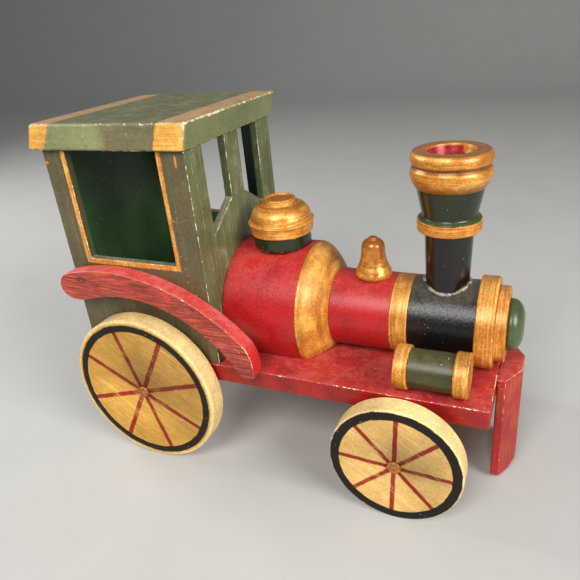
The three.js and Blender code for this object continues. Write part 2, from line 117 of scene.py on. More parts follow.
def add_mesh(name, points, faces, worn):
    """A smooth-shaded mesh object at the origin. Worn is one number a point: 1 on an edge that
    hands and knocks reach, 0 on an open face."""
    mesh = bpy.data.meshes.new(name)
    mesh.from_pydata(points.tolist(), [], faces)
    mesh.polygons.foreach_set("use_smooth", np.ones(len(mesh.polygons), bool))
    mesh.attributes.new("worn", "FLOAT", "POINT").data.foreach_set("value", worn.astype(np.float32))
    mesh.update()
    piece = bpy.data.objects.new(name, mesh)
    bpy.context.scene.collection.objects.link(piece)
    return piece


def rounded(corners, radii, closed=False):
    """A polyline with each corner rounded to its radius: an arc between the two points where a
    circle touches the sides, with one more point just outside each end, so that the flat sides
    shade flat. Returns the points and their wear, 1 half way round an outward corner."""
    corners = np.asarray(corners, float)
    count = len(corners)
    places, wear = [], []
    for i in range(count):
        if not closed and i in (0, count - 1):
            places.append(corners[i : i + 1])
            wear.append(np.zeros(1))
            continue
        back, ahead = corners[i - 1] - corners[i], corners[(i + 1) % count] - corners[i]
        back_length, ahead_length = np.linalg.norm(back), np.linalg.norm(ahead)
        back, ahead = back / back_length, ahead / ahead_length
        turn = math.acos(np.clip(back @ ahead, -1, 1)) / 2
        touch = min(radii[i] / math.tan(turn), 0.42 * back_length, 0.42 * ahead_length)
        if touch < 1e-7 or turn > 1.5:
            places.append(corners[i : i + 1])
            wear.append(np.zeros(1))
            continue
        radius = touch * math.tan(turn)
        centre = corners[i] + (back + ahead) / np.linalg.norm(back + ahead) * radius / math.sin(turn)
        start, end = corners[i] + back * touch - centre, corners[i] + ahead * touch - centre
        sweep = math.pi - 2 * turn
        share = np.linspace(0, 1, ARC_STEPS + 1)[:, None]
        arc = (np.sin((1 - share) * sweep) * start + np.sin(share * sweep) * end) / math.sin(sweep)
        hold = min(0.35 * touch, 0.3 * MM)
        outward = float(back[0] * ahead[1] - back[1] * ahead[0] < 0)
        places += [(corners[i] + back * (touch + hold))[None], arc + centre]
        places += [(corners[i] + ahead * (touch + hold))[None]]
        wear += [np.zeros(1), outward * np.sin(np.pi * share[:, 0]), np.zeros(1)]
    return np.concatenate(places), np.concatenate(wear)


def curve_through(points, steps=8):
    """A smooth curve through points: between two of them, the cubic whose slope at each end is
    that of the line joining the point before to the point after (Catmull and Rom)."""
    points = np.asarray(points, float)
    padded = np.concatenate([2 * points[:1] - points[1:2], points, 2 * points[-1:] - points[-2:-1]])
    t = np.linspace(0, 1, steps, endpoint=False)[:, None, None]
    a, b, c, d = padded[:-3], padded[1:-2], padded[2:-1], padded[3:]
    curve = b + t * (c - a) / 2 + t**2 * (a - 2.5 * b + 2 * c - d / 2) + t**3 * (1.5 * (b - c) + (d - a) / 2)
    return np.concatenate([curve.transpose(1, 0, 2).reshape(-1, points.shape[1]), points[-1:]])


UP = np.array([[1.0, 0, 0], [0, 1, 0], [0, 0, 1]])
FORWARD = np.array([[0.0, 1, 0], [0, 0, 1], [1, 0, 0]])
TO_RIGHT = np.array([[1.0, 0, 0], [0, 0, 1], [0, -1, 0]])
TO_LEFT = np.array([[0.0, 0, 1], [1, 0, 0], [0, 1, 0]])


def turned(name, profile, wear, centre, axes, around=AROUND, settle=None):
    """A turned piece: point(i, angle) = centre + along_i * axis + radius_i * (cos angle, sin angle)
    in the plane across the axis, for a profile of (radius, along). Axes holds two directions
    across, then the axis. Settle, when given, takes all the points and moves some of them."""
    angle = np.arange(around) * 2 * math.pi / around
    radius, along = profile[:, :1], np.broadcast_to(profile[:, 1:2], (len(profile), around))
    local = np.stack([radius * np.cos(angle), radius * np.sin(angle), along], -1).reshape(-1, 3)
    kept, whole, pinched = weld(local, lattice(len(profile), around, True))
    points = (local @ axes + centre)[kept]
    if settle is not None:
        points = settle(points)
    edge = np.repeat(wear, around)[kept]
    return add_mesh(name, points, whole.tolist() + pinched.tolist(), edge)


def pulled_in(outline, inset):
    """Each point of a closed outline moved inwards by its own inset, square to the outline: along
    the mean of the two sides' inward normals, further where the sides meet at a sharp angle."""
    ahead = np.roll(outline, -1, 0) - outline
    ahead /= np.linalg.norm(ahead, axis=1)[:, None]
    normal = np.stack([-ahead[:, 1], ahead[:, 0]], 1)
    mean = normal + np.roll(normal, 1, 0)
    mean /= np.maximum((mean**2).sum(1) / 2, 0.5)[:, None]
    return outline + mean * np.reshape(inset, (-1, 1))


def finely(outline, wear, step):
    """A closed outline with every side longer than step cut into equal shorter ones."""
    ends, end_wear = np.roll(outline, -1, 0), np.roll(wear, -1)
    parts = np.maximum(np.ceil(np.linalg.norm(ends - outline, axis=1) / step).astype(int), 1)
    start = np.repeat(np.arange(len(outline)), parts)
    share = np.concatenate([np.arange(n) / n for n in parts])
    points = outline[start] + share[:, None] * (ends - outline)[start]
    return points, wear[start] + share * (end_wear - wear)[start]


ALONG_BOARD = {  # across, up and through: where an outline's two directions and the thickness go
    "lying": np.array([[1.0, 0, 0], [0, 1, 0], [0, 0, 1]]),
    "side": np.array([[1.0, 0, 0], [0, 0, 1], [0, -1, 0]]),
    "cross": np.array([[0.0, 1, 0], [0, 0, 1], [1, 0, 0]]),
}


def board(name, outline, wear, bottom, top, way, edge, seed, bruises=0.5, levels=1, bend=None):
    """A sawn board: a closed outline carried through the thickness, from bottom to top. The edge
    goes in a quarter circle from the face to the side, point(i, j) = outline_j pulled in by
    edge_j * (1 - sin turn_i), at edge_j * (1 - cos turn_i) from the face, and edge_j grows and
    shrinks along the outline, as knocks leave it. Edge is one size or one for each face. Each
    face is one flat many-sided face."""
    edges = np.broadcast_to(edge, 2)
    outline, wear = finely(outline, wear, 1.5 * MM)
    length = np.concatenate([[0], np.cumsum(np.linalg.norm(np.diff(outline, axis=0), axis=1))])
    ahead, back = np.roll(outline, -1, 0) - outline, outline - np.roll(outline, 1, 0)
    bend_here = np.abs(ahead[:, 0] * back[:, 1] - ahead[:, 1] * back[:, 0])
    corner = outline[bend_here > 0.12 * np.linalg.norm(ahead, axis=1) * np.linalg.norm(back, axis=1)]
    away = np.full(len(outline), 1.0)
    if len(corner):
        away = np.linalg.norm(outline[:, None] - corner[None], axis=2).min(1)
    clear = np.clip((away - 1.5 * MM) / (4 * MM), 0, 1)
    knocks = np.clip(waves(length / MM, seed, 9, 7), 0, 1) ** 2 * bruises * 4 * clear
    turn = np.linspace(0, math.pi / 2, ARC_STEPS)
    hold = 0.25 * MM
    inset = np.concatenate([[1], 1 - np.sin(turn), [0]])
    depth = np.concatenate([[0], 1 - np.cos(turn), [1]])
    rows, worn = [], []
    for side, seeded, edge_here in ((0, seed + 1, edges[0]), (1, seed + 2, edges[1])):
        round_here = edge_here * (1 + knocks * (0.5 + 0.5 * waves(length / MM, seeded, 14)))
        ring = []
        for i, (in_share, down_share) in enumerate(zip(inset, depth)):
            pull = round_here * in_share + (hold if i == 0 else 0)
            down = round_here * down_share + (hold if i == len(inset) - 1 else 0)
            height = bottom + down if side == 0 else top - down
            ring.append(np.column_stack([pulled_in(outline, pull), height]))
        rows += ring if side == 0 else ring[::-1]
        worn += [0.0, *np.sin(2 * turn), 0.0]
        if side == 0:
            start = ring[-1]
    end = rows[len(inset)]
    between = [start + (end - start) * k / (levels + 1) for k in range(1, levels + 1)]
    rows = rows[: len(inset)] + between + rows[len(inset) :]
    worn = worn[: len(inset)] + [0.0] * levels + worn[len(inset) :]
    grid = np.array(rows)
    if bend is not None:
        grid = bend(grid)
    count = len(outline)
    points = grid.reshape(-1, 3) @ ALONG_BOARD[way]
    faces = lattice(len(rows), count, True).tolist()
    faces.append(list(range(count))[::-1])
    faces.append(list(range((len(rows) - 1) * count, len(rows) * count)))
    on_edge = np.maximum(np.repeat(worn, count), np.tile(wear, len(rows)))
    on_edge[:count] = on_edge[-count:] = 0
    return add_mesh(name, points, faces, on_edge)


def box_outline(x0, y0, x1, y1, corner):
    """A rectangle with rounded corners, counter-clockwise."""
    return rounded([(x0, y0), (x1, y0), (x1, y1), (x0, y1)], [corner] * 4, closed=True)


def stand(piece, body, *nodes, finish, slot):
    """Gives a piece its finish, sets it on its body, and lets it stand for its solids."""
    piece.data.materials.append(finish)
    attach(piece, body)
    if nodes:
        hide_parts(*nodes)
    return piece


# ---- Finishes ----


class Finish:
    """A finish being made: one Principled shader, and short calls that each add a node and give
    back its output. Lengths inside a finish are millimetres in the part's frame, and facing is
    the way the surface looks: 1 along an axis, -1 against it."""

    def __init__(self, name, **settings):
        self.material = bpy.data.materials.new(name)
        self.material.use_nodes = True
        self.tree = self.material.node_tree
        self.shader = self.tree.nodes["Principled BSDF"]
        for socket, value in settings.items():
            self.shader.inputs[socket.replace("_", " ")].default_value = value
        coordinates = self.tree.nodes.new("ShaderNodeTexCoord").outputs
        self.place = self.scaled(coordinates["Object"], 1000)
        self.x, self.y, self.z = self.parts(self.place)
        self.facing = dict(zip("xyz", self.parts(coordinates["Normal"])))

    def put(self, socket, value):
        if isinstance(value, bpy.types.NodeSocket):
            self.tree.links.new(value, socket)
        elif isinstance(value, tuple) and len(value) == 3 and socket.type == "RGBA":
            socket.default_value = (*value, 1)
        else:
            socket.default_value = value

    def to_shader(self, socket, value):
        self.put(self.shader.inputs[socket], value)

    def parts(self, vector):
        node = self.tree.nodes.new("ShaderNodeSeparateXYZ")
        self.put(node.inputs[0], vector)
        return node.outputs[0], node.outputs[1], node.outputs[2]

    def vector(self, x, y, z):
        node = self.tree.nodes.new("ShaderNodeCombineXYZ")
        for socket, value in zip(node.inputs, (x, y, z)):
            self.put(socket, value)
        return node.outputs[0]

    def scaled(self, vector, scale, shift=(0, 0, 0), turn=(0, 0, 0)):
        node = self.tree.nodes.new("ShaderNodeMapping")
        self.put(node.inputs["Vector"], vector)
        node.inputs["Scale"].default_value = (scale,) * 3 if isinstance(scale, (int, float)) else scale
        node.inputs["Location"].default_value = shift
        node.inputs["Rotation"].default_value = turn
        return node.outputs[0]

    def math(self, kind, a, b=0.0, c=0.0):
        node = self.tree.nodes.new("ShaderNodeMath")
        node.operation = kind
        for socket, value in zip(node.inputs, (a, b, c)):
            self.put(socket, value)
        return node.outputs[0]

    def less(self, a, b):
        return self.math("SUBTRACT", a, b)

    def ratio(self, a, b):
        return self.math("DIVIDE", a, b)

    def size_of(self, value):
        return self.math("ABSOLUTE", value)

    def times_plus(self, a, factor, term):
        return self.math("MULTIPLY_ADD", a, factor, term)

    def product(self, first, *rest):
        for factor in rest:
            first = self.math("MULTIPLY", first, factor)
        return first

    def total(self, first, *rest):
        for term in rest:
            first = self.math("ADD", first, term)
        return first

    def most(self, first, *rest):
        for value in rest:
            first = self.math("MAXIMUM", first, value)
        return first

    def noise(self, vector, scale, detail=3.0, roughness=0.55, distortion=0.0):
        node = self.tree.nodes.new("ShaderNodeTexNoise")
        self.put(node.inputs["Vector"], vector)
        node.inputs["Scale"].default_value = scale
        node.inputs["Detail"].default_value = detail
        node.inputs["Roughness"].default_value = roughness
        node.inputs["Distortion"].default_value = distortion
        return node.outputs["Fac"]

    def mottle(self, scale, detail=3.0, roughness=0.55):
        """Noise over the surface's own place."""
        return self.noise(self.place, scale, detail, roughness)

    def ragged(self, value, noise, amount):
        """A value that a noise pushes up and down, by up to half the amount each way."""
        return self.times_plus(noise, amount, self.less(value, amount / 2))

    def cells(self, vector, scale):
        node = self.tree.nodes.new("ShaderNodeTexVoronoi")
        self.put(node.inputs["Vector"], vector)
        node.inputs["Scale"].default_value = scale
        return node.outputs["Distance"]

    def between(self, value, start, end):
        """0 below start, 1 above end, and smooth between. Start above end turns it round."""
        node = self.tree.nodes.new("ShaderNodeMapRange")
        node.interpolation_type = "SMOOTHSTEP"
        self.put(node.inputs["Value"], value)
        lower, upper, flip = (start, end, False) if start < end else (end, start, True)
        node.inputs["From Min"].default_value = lower
        node.inputs["From Max"].default_value = upper
        node.inputs["To Min"].default_value = float(flip)
        node.inputs["To Max"].default_value = float(not flip)
        return node.outputs["Result"]

    def span(self, value, start, end, soft=0.25):
        """1 from start to end and 0 outside, with soft borders."""
        rise = self.between(value, start - soft, start + soft)
        return self.product(rise, self.between(value, end + soft, end - soft))

    def mix(self, share, a, b):
        node = self.tree.nodes.new("ShaderNodeMix")
        node.data_type = "RGBA"
        self.put(node.inputs[0], share)
        self.put(node.inputs[6], a)
        self.put(node.inputs[7], b)
        return node.outputs[2]

    def over(self, below, above, *shares):
        """A colour laid over another one, as thickly as the product of the shares."""
        return self.mix(self.product(*shares), below, above)

    def shaded(self, colour, factor):
        """A colour made darker or lighter by a factor."""
        shaded = self.mix(1.0, colour, factor)
        shaded.node.blend_type = "MULTIPLY"
        return shaded

    def distance(self, *pairs):
        """Distance from a point, along a line or in a plane: pairs of a coordinate and its
        value at the point."""
        apart = [self.size_of(self.less(a, b)) for a, b in pairs]
        squares = [self.math("POWER", side, 2.0) for side in apart]
        return self.math("SQRT", self.total(*squares))

    def worn(self):
        node = self.tree.nodes.new("ShaderNodeAttribute")
        node.attribute_name = "worn"
        return node.outputs["Fac"]

    def relief(self, height, strength=1.0):
        """Raises the surface by a height in millimetres."""
        node = self.tree.nodes.new("ShaderNodeBump")
        node.inputs["Distance"].default_value = MM
        node.inputs["Strength"].default_value = strength
        self.put(node.inputs["Height"], height)
        self.to_shader("Normal", node.outputs["Normal"])


# The third red, a pale pink, is laid on upward faces of the red pieces: dust, and a painted sheen.
RED, RED_DARK, RED_DUST_AND_SHEEN = (0.39, 0.010, 0.010), (0.17, 0.004, 0.003), (0.74, 0.20, 0.17)
# The brown olive gives random brown patches on the walls, and on the side walls it is a darker, browner olive
# that is painted shade.
OLIVE, OLIVE_BROWN, OLIVE_PALE = (0.105, 0.115, 0.042), (0.100, 0.078, 0.034), (0.27, 0.28, 0.16)
# The deep green is the inside green in painted shade, used near the roof and on its underside.
SHADED_INSIDE_GREEN, BOTTLE_GREEN = (0.026, 0.058, 0.022), (0.013, 0.018, 0.004)
GOLD, GOLD_DARK, GOLD_LIGHT = (0.57, 0.215, 0.027), (0.29, 0.085, 0.010), (0.84, 0.47, 0.100)
OCHRE, OCHRE_DARK, CREAM = (0.54, 0.290, 0.055), (0.27, 0.115, 0.018), (0.82, 0.62, 0.29)
FRONT_OLIVE = (0.125, 0.140, 0.055)
BLACK, SPOKE_RED, DUST = (0.006, 0.005, 0.004), (0.24, 0.018, 0.006), (0.40, 0.36, 0.29)
WOOD, PALE_WOOD, DARK_PORE = (0.62, 0.42, 0.20), (0.80, 0.68, 0.46), (0.36, 0.22, 0.10)


def lines_along(finish, direction, width=0.7, reach=30.0):
    """Noise drawn out along one direction, as grain and brush hairs run: width millimetres across
    a line and reach along it."""
    scale = [1 / width] * 3
    scale["xyz".index(direction)] = 1 / reach
    return finish.noise(finish.scaled(finish.place, tuple(scale)), 1.0, 4, 0.6, 0.2)


def lines_round(finish, axis, centre, width=0.6, reach=14.0):
    """Noise drawn out round an axis, as turning leaves it: it reads the distance along the axis
    plus the distance from it, finely, and the direction round it, coarsely."""
    order = {"x": (0, 1, 2), "y": (1, 0, 2), "z": (2, 0, 1)}[axis]
    moved = finish.scaled(finish.place, 1.0, tuple(-float(c) / MM for c in centre))
    parts = finish.parts(moved)
    along, a, b = (parts[i] for i in order)
    spread = finish.distance((a, 0.0), (b, 0.0))
    fine = finish.ratio(finish.total(along, spread), width)
    lines = finish.vector(fine, finish.ratio(a, reach), finish.ratio(b, reach))
    return finish.noise(lines, 1.0, 4, 0.6, 0.2), along, spread


def aged(finish, colour, lines, streak=0.5, dust=0.25, dust_colour=DUST, chips=1.07, under=PALE_WOOD,
         rough=0.36, specks=0.5, depth=1.0, guard=1.0):
    """What years of handling do to every paint here, and one painted sheen. The colour grows uneven, in broad
    patches, in fine mottling and along the lines. Dust lies on what faces up; where its colour is the red
    paints' pale pink, it is also a painted sheen on the upward faces. Fine pale specks come in
    flocks. Where an edge is worn the paint is chipped away, the more the lower chips is, down to
    the under colour; guard is the share of the wear that counts in each place. Rough is the usual
    roughness, and depth scales the relief."""
    broad = finish.mottle(0.05, 3, 0.6)
    close = finish.mottle(0.8, 5, 0.68)
    uneven = finish.total(broad, close, finish.times_plus(lines, streak, 0.0 - 0.5 * streak))
    colour = finish.shaded(colour, uneven)
    patch = finish.total(finish.mottle(0.13, 4, 0.65), finish.product(close, 0.6))
    upward = finish.between(finish.facing["z"], 0.25, 0.95)
    patchy = finish.times_plus(finish.between(patch, 0.68, 0.95), 0.7, 0.3)
    # Dust on upward faces; with the red paints' pale pink this is also a painted sheen on their tops.
    dust_and_sheen = finish.product(upward, patchy, dust)
    colour = finish.mix(dust_and_sheen, colour, dust_colour)
    flock = finish.between(finish.mottle(0.07, 2), 0.50, 0.62)
    speck = finish.product(finish.between(finish.cells(finish.place, 0.42), 0.13, 0.07), flock, specks)
    colour = finish.mix(speck, colour, PALE_WOOD)
    flake = finish.mottle(0.55, 4, 0.7)
    reach = finish.total(finish.product(finish.worn(), guard, 0.4), finish.product(flake, 0.9), -0.05)
    reach = finish.total(reach, finish.product(finish.mottle(0.055, 2), 0.45))
    chipped = finish.between(reach, chips - 0.025, chips + 0.025)
    colour = finish.mix(chipped, colour, finish.shaded(under, finish.total(flake, 0.5)))
    finish.to_shader("Base Color", colour)
    dull = finish.total(rough - 0.1, finish.product(close, 0.2), finish.product(dust_and_sheen, 0.5))
    finish.to_shader("Roughness", finish.total(dull, finish.product(chipped, 0.25)))
    height = finish.times_plus(lines, 0.10 * depth * streak, finish.product(chipped, -0.14))
    finish.relief(finish.times_plus(close, 0.09 * depth, height))
    return finish.material


def gilt(finish, lines, light=0.8, dark=0.55):
    """Bronze paint: brown grit where it is thin, yellow where it lies thick."""
    grit = finish.mottle(1.5, 4, 0.72)
    cloud = finish.mottle(0.12, 3, 0.6)
    amount = finish.total(finish.product(grit, 0.6), finish.product(cloud, 0.45), finish.product(lines, 0.55))
    colour = finish.over(GOLD, GOLD_DARK, finish.between(amount, 0.80, 0.66), dark)
    return finish.over(colour, GOLD_LIGHT, finish.between(amount, 0.77, 0.95), light)


def gold_turned(name, axis, centre, **how):
    finish = Finish(name, Metallic=0.24)
    lines = lines_round(finish, axis, centre, 0.8, 20)[0]
    settings = {"streak": 0.5, "dust": 0.1, "chips": 1.10, "under": GOLD_LIGHT, "rough": 0.37, "specks": 0.2}
    return aged(finish, gilt(finish, lines), lines, **(settings | how))


def paint_turned(name, axis, centre, colour, **how):
    finish = Finish(name)
    lines = lines_round(finish, axis, centre)[0]
    return aged(finish, colour, lines, **how)


def bare_wood(name, direction):
    """Pale beech: fine dark pores and soft bands drawn out along the grain."""
    finish = Finish(name)
    fine = lines_along(finish, direction, 0.5, 14)
    broad = lines_along(finish, direction, 4, 60)
    colour = finish.mix(finish.between(broad, 0.35, 0.65), PALE_WOOD, WOOD)
    colour = finish.over(colour, DARK_PORE, finish.between(fine, 0.56, 0.72), 0.5)
    finish.to_shader("Base Color", colour)
    finish.to_shader("Roughness", finish.times_plus(fine, 0.2, 0.5))
    finish.relief(finish.product(fine, 0.1))
    return finish.material


# ---- The pieces ----

plate_low, plate_high = low("running_board"), high("running_board")
boiler_centre = middle("boiler_barrel")


def stick(name, node, axes, finish, slot, body="chassis", edges=(TURNED_EDGE, TURNED_EDGE)):
    """A plain turned piece: its radius and length are its solid's, and both corners are rounded."""
    along = int(np.abs(axes[2]).argmax())
    size = half(node)
    radius, reach = size[(along + 1) % 3], size[along]
    corners = [(0, -reach), (radius, -reach), (radius, reach), (0, reach)]
    profile, wear = rounded(corners, [0, edges[0], edges[1], 0])
    piece = turned(name, profile, wear, middle(node), axes)
    return stand(piece, body, node, finish=finish, slot=slot)


def red_board_paint():
    """Red paint brushed along a sawn board: painted darker where the board faces sideways, as painted shade,
    and scuffed there.
    """
    finish = Finish("red_board_paint")
    lines = lines_along(finish, "x", 0.9, 34)
    level = finish.size_of(finish.facing["z"])
    scuffed = finish.between(finish.total(lines, finish.mottle(0.09, 3, 0.6)), 0.94, 1.12)
    # Painted shade: the faces that look sideways get a darker red, with darker scuffed streaks over it.
    side = finish.over((0.33, 0.009, 0.008), RED_DARK, scuffed, 0.55)
    colour = finish.mix(finish.between(level, 0.4, 0.8), side, RED)
    # The pink on the board's top is dust and a painted sheen.
    return aged(finish, colour, lines, streak=0.7, dust=0.3, dust_colour=RED_DUST_AND_SHEEN, chips=1.06,
                rough=0.40, specks=0.55)


def make_running_board():
    outline, wear = box_outline(plate_low[0], plate_low[1], plate_high[0], plate_high[1], 1.3 * MM)
    piece = board("running_board_painted", outline, wear, plate_low[2], plate_high[2], "lying", 0.7 * MM, 11)
    stand(piece, "chassis", "running_board", finish=red_board_paint(), slot="red_paint")


def make_cowcatcher():
    at_low, at_high = low("cowcatcher"), high("cowcatcher")
    chamfer_along, chamfer_across, toe = 6.5 * MM, 11.5 * MM, 5 * MM
    x0, x1, side = at_low[0], at_high[0], at_high[1]
    corners = [
        (x0, -side),
        (x1 - chamfer_along, -side),
        (x1, -side + chamfer_across),
        (x1, side - chamfer_across),
        (x1 - chamfer_along, side),
        (x0, side),
    ]
    outline, wear = rounded(corners, [1.0 * MM] * 6, closed=True)

    def round_toe(grid):
        """Below the toe's height, x may reach no further than the quarter circle of the toe."""
        rise = np.clip((grid[..., 2] - at_low[2]) / toe, 0, 1)
        limit = x1 - toe * (1 - np.sqrt(1 - (1 - rise) ** 2))
        grid[..., 0] = np.minimum(grid[..., 0], limit)
        return grid

    ends = (at_low[2], at_high[2])
    shape = (outline, wear, *ends, "lying", 0.8 * MM, 23)
    piece = board("cowcatcher_painted", *shape, levels=24, bend=round_toe)
    finish = Finish("red_cowcatcher_paint")
    lines = lines_along(finish, "z", 0.8, 22)
    scuffed = finish.between(finish.total(lines, finish.mottle(0.1, 3, 0.6)), 0.98, 1.16)
    colour = finish.over(RED, GOLD_DARK, scuffed, 0.6)
    # The pink on the cowcatcher's top is dust and a painted sheen.
    aged(finish, colour, lines, streak=0.9, dust=0.4, dust_colour=RED_DUST_AND_SHEEN, chips=1.04,
         under=(0.60, 0.33, 0.12), rough=0.42, specks=0.7, depth=1.6)
    stand(piece, "chassis", "cowcatcher", finish=finish.material, slot="red_paint")


def wheel_paint(end, side):
    """Ochre with a cream tread, a black ring, four red lines through the middle and a brown dab
    on the axle's end. The paint is on the outer face, and the grain runs across it on a slant."""
    node = f"{end}_wheel_{side}"
    centre, size = middle(node) / MM, half(node) / MM
    ring_inner, ring_outer, first_line, line_half = {
        "rear": (35.8, 39.5, 17, 1.3),
        "front": (25.6, 29.8, -3, 1.05),
    }[end]
    finish = Finish(f"{end}_wheel_paint_{side}", Specular_IOR_Level=0.25)
    across = finish.less(finish.x, float(centre[0]))
    up = finish.less(finish.z, float(centre[2]))
    wander = finish.mottle(0.22, 3, 0.6)
    spread = finish.distance((across, 0.0), (up, 0.0))
    spread_here = finish.ragged(spread, wander, 1.1)
    outer_face = float(abs(centre[1]) + size[1])
    on_face = finish.between(finish.size_of(finish.y), outer_face - 0.9, outer_face - 0.5)
    slant = finish.scaled(finish.place, 1.0, turn=(0, math.radians(-32), 0))
    grain = finish.noise(finish.scaled(slant, (1 / 22, 0.3, 1 / 0.6)), 1.0, 4, 0.62, 0.2)
    fine = finish.mottle(1.4, 4, 0.7)

    bare = finish.mix(finish.between(fine, 0.42, 0.62), (0.70, 0.50, 0.20), CREAM)
    scratched = finish.between(finish.mottle(0.05, 3, 0.6), 0.44, 0.60)
    ochre = finish.over(OCHRE, OCHRE_DARK, finish.between(grain, 0.48, 0.34), 0.45)
    scratches = finish.product(finish.between(grain, 0.55, 0.70), scratched, 0.8)
    ochre = finish.mix(scratches, ochre, (0.78, 0.52, 0.19))
    if end == "front":
        ochre = finish.mix(0.3, ochre, CREAM)
    painted = finish.product(on_face, finish.between(spread, size[0] - 1.0, size[0] - 2.2))
    colour = finish.mix(painted, bare, ochre)

    for line in range(4):
        angle = math.radians(first_line + 45 * line)
        square_off = finish.times_plus(across, -math.sin(angle), finish.product(up, math.cos(angle)))
        off = finish.size_of(finish.ragged(square_off, wander, 0.9))
        width = finish.times_plus(fine, 0.5, finish.product(off, -1.0))
        stroke = finish.between(width, -line_half - 0.02, -line_half + 0.5)
        dry = finish.between(finish.total(grain, finish.mottle(0.12, 2)), 1.06, 1.26)
        stroke = finish.product(stroke, finish.times_plus(dry, -0.6, 1.0), on_face)
        stroke = finish.product(stroke, finish.between(spread_here, ring_inner + 1.0, ring_inner))
        colour = finish.mix(stroke, colour, SPOKE_RED)
    worn_ring = finish.times_plus(finish.between(fine, 0.62, 0.74), -0.4, 1.0)
    ring = finish.product(finish.span(spread_here, ring_inner, ring_outer), on_face, worn_ring)
    colour = finish.mix(ring, colour, (0.009, 0.006, 0.004))
    hub = finish.product(finish.between(spread_here, 3.4, 2.6), on_face)
    colour = finish.mix(hub, colour, finish.mix(finish.between(fine, 0.45, 0.6), (0.17, 0.06, 0.012), GOLD))
    aged(finish, colour, grain, streak=0.4, dust=0.0, chips=1.06, rough=0.56, specks=0.5, depth=1.2)
    return finish.material


def make_wheel(end, side):
    node = f"{end}_wheel_{side}"
    radius, thickness = half(node)[0], half(node)[1]
    axle = half(f"{end}_axle")[0]
    axes = TO_RIGHT if side == "right" else TO_LEFT
    corners = [(axle, -thickness), (radius, -thickness), (radius, thickness), (axle, thickness)]
    profile, wear = rounded(corners, [0, 0.9 * MM, 1.1 * MM, 0])
    profile, wear = np.concatenate([profile, profile[:1]]), np.append(wear, 0)
    piece = turned(f"{node}_painted", profile, wear, middle(node), axes, 192)
    stand(piece, f"{end}_wheelset", node, finish=wheel_paint(end, side), slot="wheel_paint")


def wall_paint(name, outer, outer_colour, opening=None, dabs=(), pale=0.15, streak=0.7, dust=0.5, chips=1.04):
    """Olive paint on the outside of a cab wall, and on its inside a green painted darker towards the
    roof, as painted shade under it. Outer is the axis and sign of the outside. Opening (x start, x end, sill
    height) gets a gold line beside its edges, and a dab is a gold brush mark at x and z with its half sizes.
    A side wall's end faces are as green as the front wall. Only the outer edges of the outside are
    worn: not those by the opening's inside, nor those that meet another wall."""
    finish = Finish(name)
    lines = lines_along(finish, "z", 0.8, 36)
    outward = finish.product(finish.facing[outer[0]], outer[1])
    pale_streaks = finish.between(finish.total(lines, finish.mottle(0.16, 4, 0.65)), 1.0, 1.24)
    colour = finish.over(outer_colour, OLIVE_PALE, pale_streaks, pale)
    worn_brown = finish.between(finish.mottle(0.06, 3, 0.6), 0.5, 0.62)
    colour = finish.over(colour, OLIVE_BROWN, worn_brown, 0.35)
    if opening:
        start, end, sill = opening
        beside = finish.most(
            finish.less(float(start), finish.x),
            finish.less(finish.x, float(end)),
            finish.less(float(sill), finish.z),
        )
        ragged = finish.ragged(beside, finish.mottle(0.5, 3, 0.6), 0.9)
        line = finish.product(finish.between(ragged, 2.75, 2.35), finish.between(outward, 0.3, 0.6))
        colour = finish.mix(line, colour, gilt(finish, lines))
        for x, z, half_x, half_z in dabs:
            off = finish.distance(
                (finish.ratio(finish.x, half_x), x / half_x),
                (finish.ratio(finish.z, half_z), z / half_z),
            )
            dab = finish.product(finish.between(off, 1.15, 0.8), finish.between(outward, 0.3, 0.6))
            colour = finish.mix(dab, colour, GOLD)
    inside = finish.between(outward, 0.2, -0.2)
    # Painted shade: inside, the green darkens towards the roof.
    height = finish.times_plus(finish.mottle(0.07, 3), 40.0, finish.z)
    inside_green_shaded_to_roof = finish.mix(finish.between(height, 170.0, 110.0), SHADED_INSIDE_GREEN, (0.050, 0.118, 0.042))
    colour = finish.mix(inside, colour, inside_green_shaded_to_roof)
    if opening:
        edge_on = finish.between(finish.size_of(finish.facing["x"]), 0.7, 0.9)
        end_face = finish.product(edge_on, finish.between(beside, 9.0, 11.0))
        colour = finish.mix(end_face, colour, FRONT_OLIVE)
        face_y = in_mm(high("cab_wall_left")[1])
        guard = finish.between(finish.size_of(finish.y), face_y - 2.6, face_y - 1.8)
    else:
        upward = finish.between(finish.facing["z"], 0.5, 0.9)
        colour = finish.over(colour, OLIVE_PALE, upward, 0.6)
        joint_y = in_mm(high("cab_front_wall")[1])
        guard = finish.between(finish.size_of(finish.y), joint_y - 1.4, joint_y - 2.2)
    return aged(finish, colour, lines, streak=streak, dust=dust, chips=chips, rough=0.42, specks=0.7,
                guard=guard)


